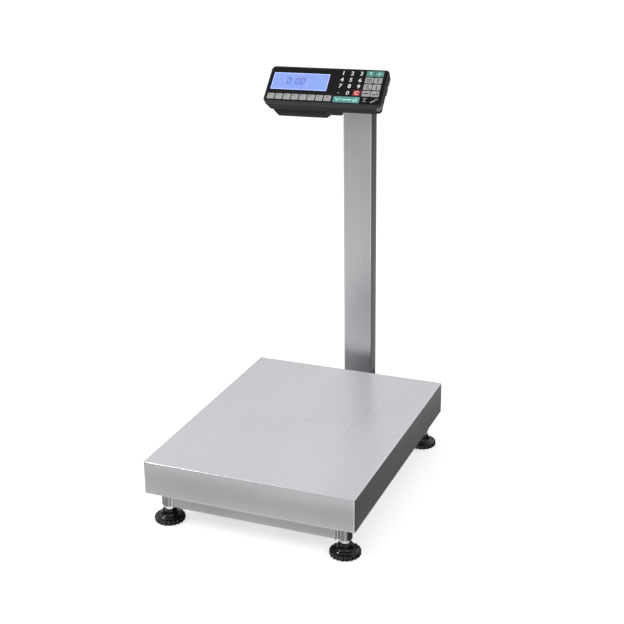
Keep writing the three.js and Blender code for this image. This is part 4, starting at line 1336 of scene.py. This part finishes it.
def dark_marks():
    """Small generic symbols: a spot and a pictogram on each grey key."""
    marks, faint = [], []
    y = MEMORY_Y
    for k, x in enumerate(MEMORY_X):
        if k < 7:
            marks.append(dot(x - 3.2, y + 3.6, 1.45))
        faint += bars(x, y, [(-4.6, -3.9, 3.6, -3.9, 0.7)])
        faint.append(ring_mark(x + 2.6, y - 0.2, 2.2 + 0.35 * (k % 3), 0.75, 30 * k, 30 * k + 230))
        faint += bars(x, y, [(-2.6, -0.6, 0.2, 1.6, 0.7)])
    faint += bars(x, y, [(-4, -2, 1, -2, 0.6)])
    left, right = FUNCTION_X
    _, second, third, fourth = FUNCTION_Y
    envelope = [(-5, 2.6, 5, 2.6, 1.1), (-5, -2.8, 5, -2.8, 1.1), (-5, -3.3, -5, 3.1, 1.1),
                (5, -3.3, 5, 3.1, 1.1), (-4.6, 2.4, 0, -0.6, 1.0), (0, -0.6, 4.6, 2.4, 1.0)]
    marks += [
        *bars(left, second, envelope),
        *bars(right, second, [(0, -4.4, 0, 1.6, 1.9)]), arrow(right, second + 3.0, 2.9, 90),
        ring_mark(left, third, 3.6, 1.2, 20, 320), *bars(left, third, [(2.2, -2.4, 5.2, -4.6, 1.3)]),
        dot(left, third, 1.2),
        *bars(right, third, [(0, 4.4, 0, -1.6, 1.9)]), arrow(right, third - 3.0, 2.9, 270),
        *bars(left, fourth, [(-6, 0, 6, 0, 2.4), (-2.4, 3.6, 2.4, 3.6, 1.0)]),
        *bars(right, fourth, [(4.6, 4.2, 4.6, -2.0, 1.9), (5.5, -1.9, -2.0, -1.9, 1.9)]),
        arrow(right - 3.6, fourth - 1.9, 3.0, 180),
    ]
    printed("keypad_dark_marks", marks, INK_DARK)
    printed("keypad_faint_marks", faint, INK_GREY)
    printed("keypad_rust_mark", [dot(x - 1.6, y + 3.0, 2.0)], INK_RUST)


def sheet_marks():
    """The total and set-up symbols printed straight on the black sheet."""
    total = [(-3.4, 4.2, 4.6, 4.2, 1.1), (-3.6, -4.2, 3.8, -4.2, 1.1), (-3.2, 4.2, 0.8, 0, 1.2),
             (-3.4, -4.2, 0.8, 0, 1.2)]
    x, y = 106.7, -80.4
    spanner = [(-5.4, -4.0, 3.6, 2.6, 3.0)]
    printed("keypad_sheet_marks", [
        *bars(88.0, -78.6, total, SHEET_TOP), *bars(x, y, spanner, SHEET_TOP),
        ring_mark(x + 5.4, y + 4.2, 2.2, 1.3, -40, 230, SHEET_TOP),
    ], INK_GREY)


# ---- terminal insides and sockets


def insides():
    refined("main_board", BOARD, "terminal", 0.2)
    refined("battery_pack", WRAP, "terminal", 1.2, 30)
    refined("battery_door", SHELL, "battery_door", 0.35)
    refined("power_rocker", NYLON, "power_rocker", 0.3, 25)


def rocker_marks():
    swing = math.radians(7)
    place = TERMINAL @ Matrix.Translation(Vector((-77, 7.2, 696)) * MM) @ Matrix.Rotation(swing, 4, "Z")
    ring = [(x, 0.5, z) for x, z in arc((4.9, 0), 1.5, 0, 345, 23)]
    shape = tube(ring, 0.17, 8, True)
    shape.join(tube([(-4.9, 0.5, -1.6), (-4.9, 0.5, 0), (-4.9, 0.5, 1.6)], 0.17, 8))
    piece("rocker_marks", shape, INK_WHITE, "power_rocker", (), place, 50)


def standing(back):
    """Stands a flat shape up as a rear panel, its height 0 at a depth."""
    return Matrix(((1, 0, 0, 0), (0, 0, 1, back), (0, 1, 0, 0), (0, 0, 0, 1)))


def sockets():
    """The rear panel: the supply jack with its pin, and a nine-pin data connector."""
    (left, right), (low, high), back = PANEL_X, PANEL_Z, 7.7
    middle = (low + high) / 2
    plate = slab((right - left - 0.6, high - low - 0.6, 1.2, ((left + right) / 2, middle)), 0, 2.0, 0.25)
    plate = plate.moved(standing(back - 2.0))
    jack_x, data_x = left + 12, right - 15
    profile = [(5.9, -4.3), (6.4, -4.0), (6.4, -0.6), (6.1, -0.1), (5.2, 0.15), (3.6, 0.15), (3.2, -0.2),
               (3.1, -3.4), (1.1, -3.5), (1.0, -0.9), (0.3, -0.6)]
    barrel = Shape().lathe(profile, 40, (jack_x, middle, 0))
    turn = standing(back)
    hole = Shape().lathe([(6.3, -5), (6.3, 5)], 40, (jack_x, middle, 0))
    mouth = block((data_x - 7.2, data_x + 7.2), (back - 4, back + 1), (middle - 4.1, middle + 4.1))
    plate = boolean(plate, [hole.moved(turn), mouth], "DIFFERENCE")
    plate.join(barrel.moved(turn))
    piece("socket_plate", plate, MATT_NYLON, "terminal", ["socket_panel"], TERMINAL, 35)
    shell_rings = []
    for grow, depth in ((0.5, -3.8), (0.5, 0.1), (0.3, 0.25), (0.0, 0.25), (-0.1, 0.1), (-0.1, -3.2)):
        outline = rounded(13.4 + 2 * grow, 6.8 + 2 * grow, 2.0, 6, (data_x, middle))
        shell_rings.append([(x - (z - middle) * 0.12 * (1 if x > data_x else -1), back + depth, z)
                            for x, z in outline])
    shape = Shape().loft(shell_rings)
    piece("data_socket_shell", shape, ZINC, "terminal", (), TERMINAL, 40)
    pins = Shape()
    for count, z in ((5, middle + 1.2), (4, middle - 1.2)):
        for k in range(count):
            x = data_x + (k - (count - 1) / 2) * 2.3
            pins.join(tube([(x, back - 3.4, z), (x, back - 1.4, z), (x, back - 1.1, z)], 0.42, 10))
    piece("data_socket_pins", pins, GOLD, "terminal", (), TERMINAL, 40)


def terminal_cable():
    route = [(0, -2, 712), (0, -10, 714), (0, -20, 724)]
    route += [tuple(FACE_LOCAL @ Vector((*CABLE_ENTRY, level))) for level in (-16, -11)]
    shape = tube(smooth_path(route, 10), CABLE_RADIUS, 20)
    piece("case_cable_jacket", shape, CABLE, "terminal", ["terminal_cable"], TERMINAL)


# ---- studio

FLOOR_REACH = 30.0
SKY_STRENGTH = 4.0
LAMP_TARGET = Vector((0, 0, 0.2))


def lamp(name, size, power, at):
    """A soft rectangular lamp that faces the scale."""
    data = bpy.data.lights.new(name, "AREA")
    data.shape = "RECTANGLE"
    data.size, data.size_y = size
    data.energy = power
    thing = bpy.data.objects.new(name, data)
    bpy.context.scene.collection.objects.link(thing)
    thing.location = at
    thing.rotation_mode = "QUATERNION"
    thing.rotation_quaternion = (LAMP_TARGET - Vector(at)).to_track_quat("-Z", "Y")


def floor():
    mesh = bpy.data.meshes.new("floor")
    corners = [(-1, -1), (1, -1), (1, 1), (-1, 1)]
    mesh.from_pydata([(x * FLOOR_REACH, y * FLOOR_REACH, 0) for x, y in corners], [], [[0, 1, 2, 3]])
    paint = Paint("floor_paper")
    tone = paint.vary(paint.noise(3.0), (0.52, 0.52, 0.52), (0.54, 0.54, 0.54))
    mesh.materials.append(paint.done(color=tone, rough=0.95, specular=0.0, glow=(1, 1, 1, 1),
                                     glow_strength=0.62))
    thing = bpy.data.objects.new("floor", mesh)
    bpy.context.scene.collection.objects.link(thing)
    thing.visible_glossy = False


def world_ramp(nodes, value, reach, stops, scale):
    """Half of each stop's level, along a value that runs from -reach to reach."""
    ramp = nodes.node("ShaderNodeValToRGB", {0: nodes.span(value, -reach, reach)})
    elements = ramp.color_ramp.elements
    while len(elements) < len(stops):
        elements.new(0.5)
    for element, (at, level) in zip(elements, stops):
        element.position = (at / scale + 1) / 2
        element.color = (level / 2, level / 2, level / 2, 1)
    return ramp.outputs["Color"]


def surroundings():
    """A pale studio: white above, greyer below the horizon, and plain white to the camera."""
    world = bpy.data.worlds.new("studio")
    bpy.context.scene.world = world
    world.use_nodes = True
    nodes = Nodes(world.node_tree, "Generated")
    x, y, z = nodes.node("ShaderNodeSeparateXYZ", {0: nodes.place}).outputs
    around = world_ramp(nodes, nodes.math("ARCTAN2", y, x), math.pi, [
        (-180, 0.40), (-160, 0.9), (-142, 0.75), (-127, 0.60), (-112, 0.56), (-96, 0.42), (-80, 1.0),
        (-56, 1.1), (-42, 0.3), (-22, 0.05), (60, 0.095), (85, 0.18), (105, 0.34), (140, 0.42), (180, 0.40),
    ], 180)
    down = world_ramp(nodes, z, 1.0, [
        (-1.0, 2.0), (-0.66, 1.3), (-0.52, 0.75), (-0.45, 1.0), (-0.38, 2.0), (-0.29, 2.0), (-0.24, 1.3),
        (-0.19, 0.2), (-0.10, 0.2),
    ], 1)
    rise = nodes.span(z, 0.04, 0.43, interpolation_type="SMOOTHSTEP")
    light = nodes.blend(rise, nodes.blend(1.0, around, down, "MULTIPLY"),
                        tuple(level / SKY_STRENGTH for level in (0.98, 0.98, 1.0)))
    by_camera = nodes.node("ShaderNodeLightPath").outputs["Is Camera Ray"]
    background = nodes.tree.nodes["Background"]
    nodes.put(background.inputs["Color"], nodes.blend(by_camera, light, (1 / SKY_STRENGTH,) * 3))
    nodes.put(background.inputs["Strength"], SKY_STRENGTH)


def studio():
    surroundings()
    floor()
    lamp("key_left", (0.6, 0.9), 32.0, (-1.85, -1.35, 2.05))
    lamp("fill_right", (1.0, 1.4), 5.0, (1.9, -1.7, 1.5))
    lamp("rim_back", (0.8, 0.9), 2.5, (1.2, 2.3, 1.1))
    view = bpy.context.scene.view_settings
    view.view_transform = "Standard"
    view.look = "None"


# ---- assembly

for build in (
    make_camera, platter_tray, frame_tubes, frame_welds, legs_and_feet, bolts, level_vial, column,
    cell_cable, swivel_head, tilt_screw, lower_shell, corner_plug_painted_highlight, case_screws, bezel, overlay_sheet,
    display, keys, figures, teal_marks, dark_marks, sheet_marks, insides, rocker_marks, sockets,
    terminal_cable, studio,
):
    build()
